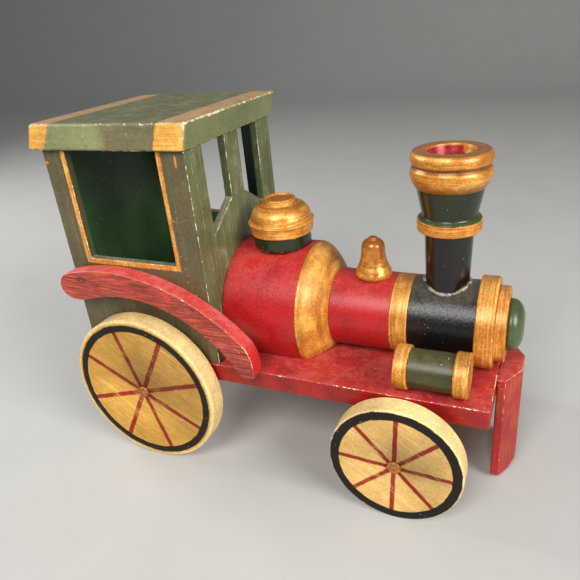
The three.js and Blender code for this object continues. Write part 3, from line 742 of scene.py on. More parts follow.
def roof_paint():
    """Olive all round, dark and mottled on top, browner toward the front of the sides, with a gold
    band over each end: bright on the sides, brown on top. The bands lean, and the two end faces
    stay olive. The front end's edges are the most worn."""
    finish = Finish("roof_paint")
    lines = lines_along(finish, "x", 0.9, 30)
    soft = finish.mottle(0.3, 3, 0.6)
    x = finish.ragged(finish.x, soft, 1.6)
    height = finish.less(finish.z, in_mm(low("cab_roof")[2]))
    before_front = finish.less(x, finish.times_plus(height, 0.344, -41.0))
    behind_rear = finish.less(finish.times_plus(height, 0.52, -103.0), x)
    band = finish.between(finish.most(before_front, behind_rear), -0.25, 0.25)
    end_face = finish.between(finish.size_of(finish.facing["x"]), 0.75, 0.9)
    band = finish.product(band, finish.less(1.0, end_face))
    top = finish.between(finish.facing["z"], 0.55, 0.85)
    under = finish.between(finish.facing["z"], -0.5, -0.8)

    cloud = finish.total(finish.mottle(0.14, 5, 0.72), finish.product(soft, 0.3))
    blotch = finish.between(cloud, 0.66, 0.90)
    dark_spot = finish.between(finish.mottle(0.45, 5, 0.75), 0.50, 0.38)
    top_olive = finish.over((0.098, 0.103, 0.046), (0.30, 0.30, 0.19), blotch, 0.45)
    top_olive = finish.over(top_olive, (0.045, 0.045, 0.020), dark_spot, 0.6)
    side_olive = finish.over((0.22, 0.235, 0.100), (0.36, 0.36, 0.20), blotch, 0.4)
    forward = finish.times_plus(finish.mottle(0.08, 3), 30.0, finish.x)
    browned = finish.between(forward, -62.0, -44.0)
    side_olive = finish.over(side_olive, (0.14, 0.105, 0.052), browned, 0.75)
    side_olive = finish.mix(end_face, side_olive, (0.175, 0.200, 0.078))
    olive = finish.mix(top, side_olive, top_olive)
    copper = finish.over((0.34, 0.20, 0.085), (0.42, 0.36, 0.24), blotch, 0.6)
    bright = finish.mix(0.4, gilt(finish, lines, 0.9, 0.4), GOLD_LIGHT)
    colour = finish.mix(band, olive, finish.mix(top, bright, copper))
    # Painted shade: the roof's underside, over the cab, is painted deep green.
    colour = finish.mix(under, colour, SHADED_INSIDE_GREEN)
    front = in_mm(high("cab_roof")[0])
    front_edge = finish.between(finish.x, front - 4.0, front - 2.5)
    guard = finish.times_plus(front_edge, 0.22, 0.86)
    return aged(finish, colour, lines, streak=0.45, dust=0.12, chips=1.03, under=(0.60, 0.58, 0.38),
                rough=0.46, specks=1.0, guard=guard)


def make_cab():
    wall_low, wall_high = low("cab_wall_right"), high("cab_wall_right")
    x0, x1, foot, top = wall_low[0], wall_high[0], wall_low[2], wall_high[2]
    rear_post, front_post, sill = 13.3 * MM, 15.2 * MM, plate_high[2] + 52.4 * MM
    corners = [
        (x0, foot),
        (x1, foot),
        (x1, top),
        (x1 - front_post, top),
        (x1 - front_post, sill),
        (x0 + rear_post, sill),
        (x0 + rear_post, top),
        (x0, top),
    ]
    outline, wear = rounded(corners, [0.9 * MM] * 8, closed=True)
    opening = ((x0 + rear_post) / MM, (x1 - front_post) / MM, sill / MM)
    right_dabs = ((-106.5, 159.4, 0.9, 0.8), (-32.6, 161.0, 0.55, 3.0))
    for side, sign, seed, dabs in (("right", -1.0, 31, right_dabs), ("left", 1.0, 37, ())):
        node = f"cab_wall_{side}"
        ends = (-high(node)[1], -low(node)[1])
        piece = board(f"{node}_painted", outline, wear, *ends, "side", 0.45 * MM, seed)
        # Painted shade: the side walls' olive is darker and browner than the front wall's.
        finish = wall_paint(f"green_wall_paint_{side}", ("y", sign), OLIVE_BROWN, opening, dabs)
        stand(piece, "chassis", node, finish=finish, slot="green_paint")

    front_low, front_high = low("cab_front_wall"), high("cab_front_wall")
    post, centre = 10 * MM, 6.5 * MM
    outer, sill_low, sill_high = front_high[1] - post, plate_high[2] + 63.8 * MM, plate_high[2] + 76.8 * MM
    side = front_high[1]
    corners = [(-side, foot), (side, foot), (side, top), (outer, top), (outer, sill_low)]
    corners += [(centre, sill_high), (centre, top), (-centre, top), (-centre, sill_high)]
    corners += [(-outer, sill_low), (-outer, top), (-side, top)]
    outline, wear = rounded(corners, [0.9 * MM] * len(corners), closed=True)
    ends = (front_low[0], front_high[0])
    piece = board("cab_front_wall_painted", outline, wear, *ends, "cross", 0.45 * MM, 41)
    look = {"pale": 0.7, "streak": 1.0, "dust": 0.6, "chips": 1.01}
    finish = wall_paint("green_front_paint", ("x", 1.0), FRONT_OLIVE, **look)
    stand(piece, "chassis", "cab_front_wall", finish=finish, slot="green_paint")

    rear_low, rear_high = low("cab_rear_wall"), high("cab_rear_wall")
    outline, wear = box_outline(rear_low[1], rear_low[2], rear_high[1], rear_high[2], 0.9 * MM)
    piece = board("cab_rear_wall_painted", outline, wear, rear_low[0], rear_high[0], "cross", 0.45 * MM, 43)
    finish = wall_paint("green_rear_paint", ("x", -1.0), OLIVE)
    stand(piece, "chassis", "cab_rear_wall", finish=finish, slot="green_paint")

    roof_low, roof_high = low("cab_roof"), high("cab_roof")
    outline, wear = box_outline(roof_low[0], roof_low[1], roof_high[0], roof_high[1], 3.2 * MM)
    length, edge = roof_high[0] - roof_low[0], 1.7 * MM
    rear_lean, front_lean = 4.0 * MM, 3.0 * MM

    def lean(grid):
        """Both ends lean forward: above the lower edge's rounding the rear end's top moves ahead, and
        the front end's foot back, by amounts that fade to nothing at the other end."""
        rise = np.clip((grid[..., 2] - roof_low[2] - edge) / (roof_high[2] - roof_low[2] - edge), 0, 1)
        along = (grid[..., 0] - roof_low[0]) / length
        grid[..., 0] += rear_lean * rise * (1 - along) - front_lean * (1 - rise) * along
        return grid

    ends = (roof_low[2], roof_high[2])
    piece = board("cab_roof_painted", outline, wear, *ends, "lying", edge, 47, bend=lean)
    stand(piece, "chassis", "cab_roof", finish=roof_paint(), slot="roof_paint")


def fender_arcs():
    """Centre and radius of the fender's inner and outer curves."""
    wheel = half("rear_wheel_right")[0]
    axle_x = middle("rear_axle")[0]
    inner_radius, outer_radius = wheel + 30 * MM, wheel + 58 * MM
    inner_back, outer_back, depth = 3.5 * MM, 11 * MM, 13.3 * MM
    top = high("fender_right")[2]
    inner = np.array([axle_x - inner_back, top - depth - inner_radius])
    return inner, inner_radius, np.array([axle_x - outer_back, top - outer_radius]), outer_radius


def fender_outline():
    """A crescent: the inner arc over the wheel, a rounded tail that leaves both arcs along their
    own direction (one cubic), the outer arc, and the tip that turns down to the running board.
    The inner arc ends nearer the axle, which keeps the tail's underside nearly level.
    Counter-clockwise in x and z."""
    inner, inner_radius, outer, outer_radius = fender_arcs()
    foot, tip = low("fender_right")[2], plate_high[2] + 17.5 * MM
    axle_x = middle("rear_axle")[0]
    under_back, over_back, under_pull, over_pull = 25 * MM, 35 * MM, 20 * MM, 13 * MM

    def arc(centre, radius, start, end, steps):
        angle = np.linspace(start, end, steps)[:, None]
        return centre + radius * np.hstack([np.cos(angle), np.sin(angle)])

    def angle_at_height(centre, radius, z):
        return math.asin((z - centre[1]) / radius)

    def angle_behind_axle(centre, radius, back):
        return math.acos((axle_x - back - centre[0]) / radius)

    def onward(angle, pull):
        return pull * np.array([-math.sin(angle), math.cos(angle)])

    under_end = angle_behind_axle(inner, inner_radius, under_back)
    over_end = angle_behind_axle(outer, outer_radius, over_back)
    under = arc(inner, inner_radius, under_end, angle_at_height(inner, inner_radius, foot), 60)
    over = arc(outer, outer_radius, angle_at_height(outer, outer_radius, tip), over_end, 60)
    t = np.linspace(0, 1, 26)[1:-1, None]
    over_hold, under_hold = over[-1] + onward(over_end, over_pull), under[0] + onward(under_end, under_pull)
    tail = (1 - t) ** 3 * over[-1] + 3 * t * (1 - t) ** 2 * over_hold
    tail = tail + 3 * t**2 * (1 - t) * under_hold + t**3 * under[0]
    front = over[0, 0] + 3.2 * MM
    bend = np.linspace(0, 1, 8)[1:-1, None]
    ends = np.array([[front, foot + 5 * MM], [front, tip - 5 * MM], over[0]])
    nose = (1 - bend) ** 2 * ends[0] + 2 * bend * (1 - bend) * ends[1] + bend**2 * ends[2]
    heel = np.array([[front - 1.5 * MM, foot], [front, foot + 1.5 * MM], [front, foot + 5 * MM]])
    return np.concatenate([under, heel, nose, over, tail])


def fender_paint(side):
    """Red: pink on top, from dust and a painted sheen. On the outer face the grain shows, in brown and pink
    streaks, and the upper edge is rubbed down to a gold-brown ground. The right one has a dab of brighter red
    and the ring of a nail's head, drawn out along the grain."""
    finish = Finish(f"red_fender_paint_{side}")
    outer, outer_radius = fender_arcs()[2:]
    centre_x, centre_z, radius = in_mm(outer[0]), in_mm(outer[1]), in_mm(outer_radius)
    lines = lines_along(finish, "x", 0.55, 13)
    spread = finish.distance((finish.x, centre_x), (finish.z, centre_z))
    sideways = finish.product(finish.facing["y"], -1.0 if side == "right" else 1.0)
    outer_face = finish.between(sideways, 0.6, 0.85)
    streaks = finish.between(lines, 0.53, 0.40)
    face = finish.over((0.37, 0.040, 0.024), (0.13, 0.018, 0.009), streaks, 0.85)
    face = finish.over(face, (0.60, 0.17, 0.075), finish.between(lines, 0.55, 0.70), 0.75)
    inside = finish.less(spread, radius)
    rubbed = finish.times_plus(finish.mottle(0.35, 4, 0.65), 5.0, inside)
    face = finish.over(face, (0.46, 0.17, 0.06), finish.between(rubbed, 1.7, 2.6), 0.55)
    colour = finish.mix(outer_face, (0.50, 0.024, 0.022), face)
    if side == "right":
        red_dab = finish.between(finish.distance((finish.x, -45.2), (finish.z, 97.7)), 1.9, 1.3)
        colour = finish.over(colour, (0.58, 0.035, 0.030), red_dab, outer_face)
        flatter = 0.55
        nail_off = finish.distance((finish.product(finish.x, flatter), -96.3 * flatter), (finish.z, 102.0))
        nail = finish.span(nail_off, 1.0, 1.6, 0.25)
        colour = finish.over(colour, (0.05, 0.014, 0.008), nail, outer_face)
    # The pink on the fender's top is dust and a painted sheen.
    return aged(finish, colour, lines, streak=0.7, dust=0.5, dust_colour=RED_DUST_AND_SHEEN, chips=1.09,
                under=(0.80, 0.42, 0.30), rough=0.40, specks=0.6)


def make_fenders():
    outline = fender_outline()
    for side, seed in (("right", 53), ("left", 59)):
        node = f"fender_{side}"
        ends = (-high(node)[1], -low(node)[1])
        piece = board(f"{node}_painted", outline, np.zeros(len(outline)), *ends, "side", 0.7 * MM, seed)
        stand(piece, "chassis", node, finish=fender_paint(side), slot="red_paint")


def ring_paint():
    """Gold, with one red brush mark on its right side where the board's paint strayed."""
    finish = Finish("gold_ring_paint", Metallic=0.24)
    lines = lines_round(finish, "x", boiler_centre, 0.8, 20)[0]
    front = in_mm(high("smokebox_ring")[0])
    mark = finish.distance((finish.x, front - 0.3), (finish.y, -21.2), (finish.z, 94.0))
    wander = finish.ragged(mark, finish.mottle(0.9, 2), 1.4)
    colour = finish.mix(finish.between(wander, 2.0, 1.5), gilt(finish, lines), (0.62, 0.06, 0.04))
    return aged(finish, colour, lines, streak=0.35, dust=0.1, chips=1.08, under=GOLD_LIGHT, rough=0.34,
                specks=0.2)


def smokebox_paint():
    """Black, with brown-grey thick along the top and thin down the sides: dust, and a painted sheen on the
    top.
    """
    finish = Finish("black_smokebox_paint")
    lines = lines_round(finish, "x", boiler_centre)[0]
    # Dust and painted sheen: brown-grey on the smokebox's top, thinning down the sides.
    fall = finish.times_plus(finish.mottle(0.25, 5, 0.7), 0.7, finish.facing["z"])
    grey = finish.product(finish.between(fall, 0.85, 1.40), 0.55)
    colour = finish.mix(grey, BLACK, (0.17, 0.145, 0.115))
    return aged(finish, colour, lines, streak=0.5, dust=0.0, chips=1.05, rough=0.27, specks=0.35,
                depth=1.6)


def make_shoulder(finish):
    """The firebox's shoulder, rounded down from the drum's radius to the boiler's, with its foot
    sawn flat to stand on the board."""
    at_low, at_high = low("firebox_shoulder"), high("firebox_shoulder")
    big, small = half("firebox_shoulder")[1], half("boiler_barrel")[1]
    steps, roundness = 25, 1.55
    share = np.linspace(0, 1, steps)
    radius = small + (big - small) * (1 - share**roundness)
    along = at_low[0] + (at_high[0] - at_low[0]) * share
    centre_z = boiler_centre[2]
    chord = np.arcsin(np.clip((at_low[2] - centre_z) / radius, -1, 1))
    angle = chord[:, None] + np.linspace(0, 1, AROUND) * (math.pi - 2 * chord)[:, None]
    across, up = radius[:, None] * np.cos(angle), centre_z + radius[:, None] * np.sin(angle)
    grid = np.stack([np.broadcast_to(along[:, None], angle.shape), across, up], -1)
    grid = np.concatenate([grid[:1], grid, grid[-1:]])
    grid[0, :, 1:] = pulled_in(grid[0, :, 1:], 0.3 * MM)
    grid[-1, :, 1:] = pulled_in(grid[-1, :, 1:], 0.3 * MM)
    faces = lattice(steps + 2, AROUND, True).tolist()
    faces.append(list(range(AROUND))[::-1])
    faces.append(list(range((steps + 1) * AROUND, (steps + 2) * AROUND)))
    wear = np.zeros((steps + 2, AROUND))
    wear[1] = 0.85
    piece = add_mesh("firebox_shoulder_painted", grid.reshape(-1, 3), faces, wear.reshape(-1))
    stand(piece, "chassis", "firebox_shoulder", finish=finish, slot="gold_paint")


def make_nose_button(finish):
    """The button on the smokebox door: a short straight side, then a quarter ellipse to a flat
    front."""
    nose = half("nose_button")
    side, deep, come_in = 1.2 * MM, 5.6 * MM, 8.5 * MM
    turn = np.linspace(0, math.pi / 2, 20)
    round_out = nose[1] - come_in * (1 - np.cos(turn))
    round_edge = np.column_stack([round_out, side + deep * np.sin(turn) - nose[0]])
    profile = np.concatenate([[(0, -nose[0]), (nose[1], -nose[0])], round_edge, [(0, nose[0])]])
    piece = turned("nose_button_painted", profile, np.zeros(len(profile)), middle("nose_button"), FORWARD)
    stand(piece, "chassis", "nose_button", finish=finish, slot="green_paint")


def make_boiler():
    # The pink on the drum's and boiler's tops is dust and a painted sheen.
    red = paint_turned("red_boiler_paint", "x", boiler_centre, RED, streak=0.3, dust=0.18,
                       dust_colour=RED_DUST_AND_SHEEN, chips=1.1, rough=0.33, specks=0.25)
    gold = gold_turned("gold_boiler_paint", "x", boiler_centre)
    worn_gold = gold_turned("gold_band_paint", "x", boiler_centre, chips=1.05, streak=0.6)
    green = paint_turned("green_nose_paint", "x", boiler_centre, (0.055, 0.078, 0.030), rough=0.24, dust=0.0,
                         streak=0.4, specks=0.4)

    def standing_round(node, edge, finish, slot, seed):
        """A disc with its foot sawn flat, so that it stands on the board."""
        at_low, at_high = low(node), high(node)
        radius = half(node)[1]
        centre_z = at_high[2] - radius
        chord = math.asin((at_low[2] - centre_z) / radius)
        angle = np.linspace(chord, math.pi - chord, AROUND)
        outline = np.column_stack([radius * np.cos(angle), centre_z + radius * np.sin(angle)])
        ends = (at_low[0], at_high[0])
        piece = board(f"{node}_painted", outline, np.zeros(AROUND), *ends, "cross", edge, seed, 0.1)
        stand(piece, "chassis", node, finish=finish, slot=slot)

    standing_round("firebox_drum", (0.5 * MM, 0.15 * MM), red, "red_paint", 61)
    standing_round("smokebox_ring", (0.5 * MM, 1.3 * MM), ring_paint(), "gold_paint", 67)

    make_shoulder(gold)

    fine = (0.25 * MM, 0.25 * MM)
    stick("boiler_barrel_painted", "boiler_barrel", FORWARD, red, "red_paint", edges=fine)
    stick("boiler_band_painted", "boiler_band", FORWARD, worn_gold, "gold_paint", edges=(0.25 * MM, 0.5 * MM))
    stick("smokebox_painted", "smokebox", FORWARD, smokebox_paint(), "black_paint", edges=fine)
    door_edges = (0.1 * MM, 0.9 * MM)
    stick("smokebox_door_painted", "smokebox_door", FORWARD, worn_gold, "gold_paint", edges=door_edges)
    make_nose_button(green)


def crown_paint(centre):
    """Gold, with brown as painted shade in the groove and on the faces turned down, as under the lower roll;
    brown on the rim, red in the funnel with gold dashed over part of it, and one pale chip on the rim."""
    finish = Finish("gold_crown_paint", Metallic=0.24)
    lines, height, spread = lines_round(finish, "z", (centre[0], centre[1], low("chimney_crown")[2]), 0.8, 20)
    tall = in_mm(2 * half("chimney_crown")[2])
    soft = finish.mottle(0.5, 3, 0.6)
    level = finish.ragged(height, soft, 1.2)
    # Painted shade: brown in the groove and on the faces turned down; the brown on the flat rim is the
    # paint's own.
    groove = finish.between(finish.size_of(finish.less(level, 0.6 * tall)), 1.7, 0.3)
    foot = finish.between(finish.times_plus(soft, 0.5, finish.facing["z"]), 0.12, -0.45)
    near_top = finish.between(level, 0.8 * tall, 0.9 * tall)
    flat_rim = finish.product(finish.between(finish.facing["z"], 0.7, 0.95), near_top)
    brown = finish.most(groove, foot, finish.product(flat_rim, 0.85))
    colour = finish.over(gilt(finish, lines), (0.20, 0.065, 0.010), brown, 0.85)
    funnel = finish.product(finish.between(spread, 11.2, 10.2), finish.between(level, tall - 0.4, tall - 1.2))
    side = finish.total(finish.product(finish.less(finish.x, in_mm(centre[0])), 0.11), soft)
    red = finish.mix(finish.between(soft, 0.5, 0.62), (0.36, 0.006, 0.010), (0.16, 0.003, 0.004))
    colour = finish.mix(funnel, colour, finish.mix(finish.between(side, 0.75, 1.0), red, gilt(finish, lines)))
    chip = finish.distance((finish.x, 61.8), (finish.y, 6.6), (height, tall - 0.6))
    chip = finish.between(finish.times_plus(soft, 1.5, chip), 2.6, 2.2)
    colour = finish.mix(chip, colour, (0.80, 0.72, 0.60))
    return aged(finish, colour, lines, streak=0.35, dust=0.08, chips=1.12, under=GOLD_LIGHT, rough=0.30,
                specks=0.15)


def flare_paint(centre):
    """Glossy bottle green, a little lighter where it spreads over the collar."""
    finish = Finish("green_flare_gloss")
    lines, height, _ = lines_round(finish, "z", (centre[0], centre[1], low("chimney_flare")[2]))
    # Lighter green towards the foot, where the flare spreads over the collar.
    lighter_foot = finish.product(finish.between(height, 2.2, 0.6), 0.8)
    colour = finish.mix(lighter_foot, BOTTLE_GREEN, (0.055, 0.080, 0.022))
    return aged(finish, colour, lines, streak=0.3, dust=0.0, chips=1.02, under=OLIVE_PALE, rough=0.20,
                specks=0.2, depth=0.5)


def make_glue_bead(centre, foot_radius, saddle):
    """The bead of glue round the chimney's foot: a thin tube whose middle line is a circle laid on
    the saddle, point(a, b) = line(a) + thickness(a) * (outwards * cos b + up * sin b)."""
    around, section = np.arange(160) * 2 * math.pi / 160, np.arange(12) * 2 * math.pi / 12
    ring, lift = foot_radius + 0.35 * MM, 0.45 * MM
    thick = 0.8 * MM * (1 + 0.8 * waves(around * 9, 71, 11, 6) * np.sin(around / 2) ** 2)
    out = ring + np.outer(thick, np.cos(section))
    line_z = saddle(ring * np.sin(around)) + lift
    grid = np.stack([centre[0] + out * np.cos(around)[:, None], out * np.sin(around)[:, None],
                     line_z[:, None] + np.outer(thick, np.sin(section))], -1)
    grid = np.concatenate([grid, grid[:1]])
    kept, whole, pinched = weld(grid.reshape(-1, 3), lattice(161, 12, True))
    faces = whole.tolist() + pinched.tolist()
    bead = add_mesh("chimney_glue_bead", grid.reshape(-1, 3)[kept], faces, np.zeros(len(kept)))
    finish = Finish("old_glue", IOR=1.5)
    cloud = finish.mottle(0.4, 3, 0.6)
    glue = finish.mix(finish.between(cloud, 0.36, 0.56), (0.05, 0.038, 0.026), (0.34, 0.30, 0.23))
    finish.to_shader("Base Color", glue)
    finish.to_shader("Roughness", finish.times_plus(cloud, 0.2, 0.05))
    finish.relief(finish.product(cloud, 0.3))
    stand(bead, "chassis", finish=finish.material, slot="black_gloss")


def make_chimney():
    centre = middle("chimney_tube")
    gold = gold_turned("gold_collar_paint", "z", centre, chips=1.05)
    gloss = {"rough": 0.18, "streak": 0.2, "dust": 0.0, "specks": 0.3, "depth": 0.4}
    black = paint_turned("black_chimney_gloss", "z", centre, BLACK, **gloss)
    base = np.array([centre[0], centre[1], 0])
    axis_z, radius = boiler_centre[2], half("smokebox")[1]

    def saddle(y):
        """Height of the smokebox's round top at a distance y from its middle."""
        return axis_z + np.sqrt(radius**2 - y**2)

    def upright(name, corners, radii, finish, slot, node, settle=None):
        profile, worn = rounded(corners, radii) if radii is not None else (corners, np.zeros(len(corners)))
        piece = turned(name, profile, worn, base, UP, settle=settle)
        stand(piece, "chassis", node, finish=finish, slot=slot)

    crown = high("smokebox")[2]
    foot, skirt, follow = crown - 0.6 * MM, 2 * MM, 0.7

    def fitted(points):
        """The tube's foot follows the smokebox: below the skirt's top, heights stretch down, so
        that the foot comes most of the way down to the round top."""
        share = np.clip((foot + skirt - points[:, 2]) / skirt, 0, 1)
        drop = follow * (foot - saddle(points[:, 1]))
        return points - np.outer(share * drop, [0, 0, 1])

    tube_top, top_radius = high("chimney_tube")[2], half("chimney_tube")[0]
    foot_radius = top_radius - 0.8 * MM
    corners = [(0, foot), (foot_radius, foot), (foot_radius, foot + skirt)]
    corners += [(top_radius, tube_top), (0, tube_top)]
    radii = [0, 0.2 * MM, 2 * MM, 0.3 * MM, 0]
    upright("chimney_tube_painted", corners, radii, black, "black_gloss", "chimney_tube", fitted)

    collar = half("chimney_collar")[0]
    ends = (low("chimney_collar")[2], high("chimney_collar")[2])
    corners = [(0, ends[0]), (collar, ends[0]), (collar, ends[1]), (0, ends[1])]
    radii = [0, 0.7 * MM, 0.5 * MM, 0]
    upright("chimney_collar_painted", corners, radii, gold, "gold_paint", "chimney_collar")

    flare_low, flare_high = low("chimney_flare")[2], high("chimney_flare")[2]
    wide, waist, spread = half("chimney_flare")[0], 11.9 * MM, collar - 0.3 * MM
    corners = [(0, flare_low), (spread, flare_low), (spread - 0.2 * MM, flare_low + 0.35 * MM)]
    corners += [(waist, flare_low + 1.3 * MM), (wide, flare_high), (0, flare_high)]
    radii = [0, 0.1 * MM, 0.5 * MM, 1.2 * MM, 0.1 * MM, 0]
    upright("chimney_flare_painted", corners, radii, flare_paint(centre), "green_paint", "chimney_flare")

    crown_low, crown_high = low("chimney_crown")[2], high("chimney_crown")[2]
    height, wide = crown_high - crown_low, half("chimney_crown")[0]

    def at(radius_in, share):
        return (wide - radius_in * MM, crown_low + share * height)

    lower = [at(2.5, 0.0), at(1.35, 0.11), at(0.4, 0.24), at(0.0, 0.38), at(0.25, 0.49), at(1.0, 0.57)]
    lower.append(at(1.35, 0.6))
    upper = [at(1.35, 0.6), at(0.9, 0.635), at(0.3, 0.69), at(0.0, 0.78), at(0.35, 0.9), at(1.2, 0.975)]
    upper.append(at(2.2, 1.0))
    funnel = [at(6.3, 1.0), at(6.9, 0.985), at(7.3, 0.93), at(9.2, 0.5), at(11.0, 0.0)]
    sides = [curve_through(points) for points in (lower, upper, funnel)]
    profile = np.concatenate([[at(11.0, 0.0)], *sides])
    upright("chimney_crown_painted", profile, None, crown_paint(centre), "gold_paint", "chimney_crown")

    make_glue_bead(centre, foot_radius, saddle)


def dome_paint(centre):
    """Gold, with reddish brown in the hollow on top, and reddish brown under the boss as painted shade."""
    finish = Finish("gold_dome_paint", Metallic=0.24)
    lines, height, spread = lines_round(finish, "z", (centre[0], centre[1], high("steam_dome")[2]), 0.8, 20)
    soft = finish.mottle(0.6, 3, 0.6)
    hollow = finish.product(finish.between(spread, 7.3, 6.5), finish.between(finish.facing["z"], 0.6, 0.9))
    # Painted shade: reddish brown in a band under the boss.
    shade_under_boss = finish.product(finish.span(height, -4.2, -2.6, 0.5), 0.5)
    brown = finish.product(finish.most(hollow, shade_under_boss), finish.total(soft, 0.25))
    colour = finish.mix(brown, gilt(finish, lines, 0.9, 0.6), (0.30, 0.075, 0.020))
    return aged(finish, colour, lines, streak=0.3, dust=0.0, chips=1.1, under=GOLD_LIGHT, rough=0.32,
                specks=0.15)


def make_dome():
    centre = middle("steam_dome")
    base = np.array([centre[0], 0, 0])
    green = paint_turned("green_dome_gloss", "z", centre, BOTTLE_GREEN, rough=0.20, streak=0.4, dust=0.3,
                         chips=1.06, under=OLIVE_PALE, specks=0.2)
    foot, top = high("firebox_drum")[2] - 0.4 * MM, high("dome_base")[2]
    radius = half("dome_base")[0]
    corners = [(0, foot), (radius, foot), (radius, top), (0, top)]
    profile, wear = rounded(corners, [0, 1.5 * MM, 0.6 * MM, 0])
    piece = turned("dome_base_painted", profile, wear, base, UP)
    stand(piece, "chassis", "dome_base", finish=green, slot="green_paint")

    lip, foot, top = half("steam_dome")[0], low("steam_dome")[2], high("steam_dome")[2]
    boss = lip - 8.4 * MM
    lip_z, ball_top = foot + 6.0 * MM, top - 2.5 * MM
    lip_in = lip - 1.3 * MM
    rim = curve_through([
        (lip - 1.0 * MM, foot + 0.3 * MM),
        (lip - 0.7 * MM, foot + 2.6 * MM),
        (lip - 0.45 * MM, lip_z - 1.0 * MM),
        (lip, lip_z - 0.5 * MM),
        (lip - 0.25 * MM, lip_z),
        (lip_in, lip_z + 0.3 * MM),
    ], 6)
    turn = np.linspace(0, math.pi / 2, 24)[1:-2]
    ball_height = ball_top - lip_z - 0.3 * MM
    ball_radius = boss + (lip_in - boss) * np.cos(turn)
    ball = np.column_stack([ball_radius, lip_z + 0.3 * MM + ball_height * np.sin(turn)])
    corners = [
        (boss + 0.7 * MM, ball_top - 0.05 * MM),
        (boss, ball_top),
        (boss - 0.3 * MM, top),
        (boss - 1.3 * MM, top),
        (boss - 1.9 * MM, top - 0.8 * MM),
        (0, top - 1.1 * MM),
    ]
    knob = rounded(corners, [0, 0.35 * MM, 0.4 * MM, 0.35 * MM, 0.5 * MM, 0])[0]
    profile = np.concatenate([[(0, foot), (lip - 1.3 * MM, foot)], rim, ball, knob])
    piece = turned("steam_dome_painted", profile, np.zeros(len(profile)), base, UP)
    stand(piece, "chassis", "steam_dome", finish=dome_paint(centre), slot="gold_paint")


def make_bell():
    centre = middle("bell")
    foot, top, wide = high("boiler_barrel")[2] - 0.6 * MM, high("bell")[2], half("bell")[0]
    height = top - foot

    def at(radius_in, share):
        return (wide - radius_in * MM, foot + share * height)

    side = [at(0.7, 0.0), at(0.05, 0.05), at(0.35, 0.13), at(1.9, 0.30), at(2.9, 0.46), at(3.35, 0.62)]
    side += [at(3.45, 0.74), at(3.9, 0.84), at(5.3, 0.92), at(6.9, 0.945)]
    side = curve_through(side)
    button = rounded([at(6.9, 0.945), at(6.95, 1.0), at(wide / MM, 1.0)], [0, 0.6 * MM, 0])[0]
    profile = np.concatenate([[(0, foot)], side, button[1:]])
    piece = turned("bell_painted", profile, np.zeros(len(profile)), np.array([centre[0], 0, 0]), UP)
    finish = Finish("gold_bell_paint", Metallic=0.35)
    lines, level, _ = lines_round(finish, "z", (centre[0], centre[1], top), 0.9, 12)
    uneven = finish.times_plus(finish.mottle(0.3, 3, 0.6), 22.0, level)
    copper = finish.between(uneven, -4.0, 4.0)
    colour = finish.over(gilt(finish, lines), (0.36, 0.115, 0.020), copper, 0.8)
    aged(finish, colour, lines, streak=0.5, dust=0.0, chips=1.1, under=GOLD_LIGHT, rough=0.22, specks=0.1)
    stand(piece, "chassis", "bell", finish=finish.material, slot="gold_paint")


def make_cylinders():
    for side in ("right", "left"):
        centre = middle(f"cylinder_{side}_barrel")
        gold = gold_turned(f"gold_cylinder_paint_{side}", "x", centre, chips=1.03)
        green = paint_turned(f"green_cylinder_paint_{side}", "x", centre, (0.045, 0.043, 0.014), streak=0.6,
                             dust=0.3, dust_colour=(0.22, 0.175, 0.095), rough=0.32, specks=1.0)
        barrel = f"cylinder_{side}_barrel"
        stick(f"{barrel}_painted", barrel, FORWARD, green, "green_paint", edges=(0.2 * MM, 0.2 * MM))
        for end in ("rear", "front"):
            node = f"cylinder_{side}_{end}_cap"
            stick(f"{node}_painted", node, FORWARD, gold, "gold_paint", edges=(0.7 * MM, 0.7 * MM))


def make_running_gear():
    for end in ("rear", "front"):
        for side in ("right", "left"):
            make_wheel(end, side)
        finish = Finish(f"{end}_axle_paint")
        grain = lines_along(finish, "y", 0.5, 14)
        fine = finish.mottle(1.4, 4, 0.7)
        tip = in_mm(high(f"{end}_axle")[1])
        dab = finish.between(finish.size_of(finish.y), tip - 1.6, tip - 1.0)
        wood = finish.mix(finish.between(grain, 0.4, 0.6), PALE_WOOD, WOOD)
        brown = finish.mix(finish.between(fine, 0.45, 0.6), (0.17, 0.06, 0.012), GOLD)
        aged(finish, finish.mix(dab, wood, brown), grain, streak=0.5, dust=0.0, chips=1.15, rough=0.45)
        stick(f"{end}_axle_dowel", f"{end}_axle", TO_LEFT, finish.material, "axle_wood", f"{end}_wheelset")
        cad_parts[f"{end}_axle_block"].data.materials.clear()
        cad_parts[f"{end}_axle_block"].data.materials.append(bare_wood(f"{end}_block_wood", "y"))


def make_floor():
    """A wide pale floor that rises at the back in one smooth sweep, so that no line shows."""
    across = np.linspace(-3, 3, 13)
    run = np.linspace(-3, 1.2, 15)
    turn = np.linspace(0, math.pi / 2, 16)[1:]
    depth = np.concatenate([run, 1.2 + 0.8 * np.sin(turn), [2.0]])
    rise = np.concatenate([run * 0, 0.8 * (1 - np.cos(turn)), [3.5]])
    x, row = np.meshgrid(across, np.arange(len(depth)), indexing="xy")
    points = np.stack([x, depth[row], rise[row]], -1).reshape(-1, 3)
    faces = lattice(len(depth), len(across), False).tolist()
    floor = add_mesh("studio_floor", points, faces, np.zeros(len(points)))
    finish = Finish("studio_floor_paper", Roughness=0.8)
    grain = finish.mottle(0.02, 3)
    finish.to_shader("Base Color", finish.mix(grain, (0.44, 0.44, 0.43), (0.49, 0.49, 0.48)))
    floor.data.materials.append(finish.material)


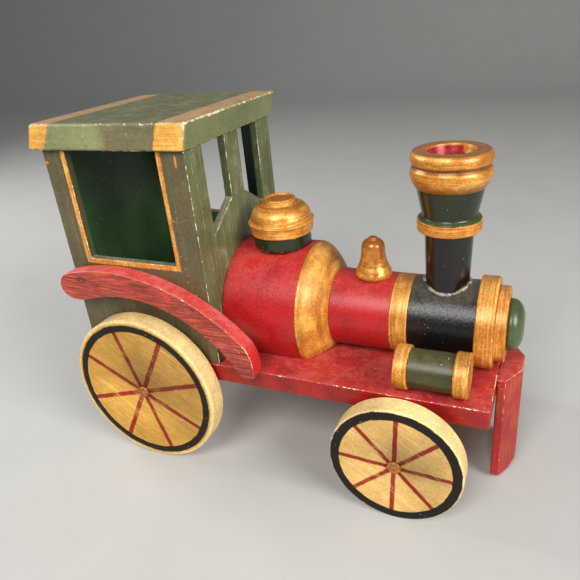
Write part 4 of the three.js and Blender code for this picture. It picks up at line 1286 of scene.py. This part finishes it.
def add_lamp(name, place, target, size, power, colour):
    lamp = bpy.data.lights.new(name, "AREA")
    lamp.size, lamp.energy, lamp.color = size, power, colour
    holder = bpy.data.objects.new(name, lamp)
    holder.location = place
    direction = np.array(target) - np.array(place)
    yaw = math.atan2(direction[0], -direction[1])
    tilt = math.atan2(math.hypot(direction[0], direction[1]), -direction[2])
    holder.rotation_euler = Euler((tilt, 0, math.pi + yaw))
    bpy.context.scene.collection.objects.link(holder)


def make_studio():
    make_floor()
    target = (0.0, 0.0, 0.08)
    add_lamp("window_ahead", (0.95, -0.40, 0.62), target, 0.55, 13, (1.0, 0.98, 0.95))
    add_lamp("window_side", (0.0, -1.0, 1.0), target, 0.6, 15, (1.0, 0.985, 0.96))
    add_lamp("window_behind", (-0.85, 0.05, 0.55), target, 0.4, 5, (1.0, 0.99, 0.97))
    world = bpy.data.worlds.new("soft_daylight")
    world.use_nodes = True
    world.node_tree.nodes["Background"].inputs["Color"].default_value = (0.90, 0.90, 0.90, 1)
    world.node_tree.nodes["Background"].inputs["Strength"].default_value = 0.17
    bpy.context.scene.world = world
    bpy.context.scene.view_settings.view_transform = "Standard"


def make_camera():
    heading, down, roll = math.radians(24.90), math.radians(25.54), math.radians(-5.23)
    lens = bpy.data.cameras.new("camera")
    lens.sensor_width = 36
    lens.lens = 35.45
    lens.shift_x, lens.shift_y = -0.0219, -0.0089
    lens.clip_start, lens.clip_end = 0.01, 20
    camera = bpy.data.objects.new("camera", lens)
    camera.location = (0.1163, -0.2435, 0.2148)
    turn = Euler((math.pi / 2 - down, 0, heading)).to_matrix() @ Euler((0, 0, roll)).to_matrix()
    camera.rotation_euler = turn.to_euler()
    bpy.context.scene.collection.objects.link(camera)
    bpy.context.scene.camera = camera


make_camera()
make_running_board()
make_cowcatcher()
make_running_gear()
make_cab()
make_fenders()
make_boiler()
make_chimney()
make_dome()
make_bell()
make_cylinders()
make_studio()

for node in ("cowcatcher_peg_1", "cowcatcher_peg_2", "boiler_core_dowel"):
    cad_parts[node].data.materials.clear()
    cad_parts[node].data.materials.append(bare_wood(f"{node}_wood", "x"))
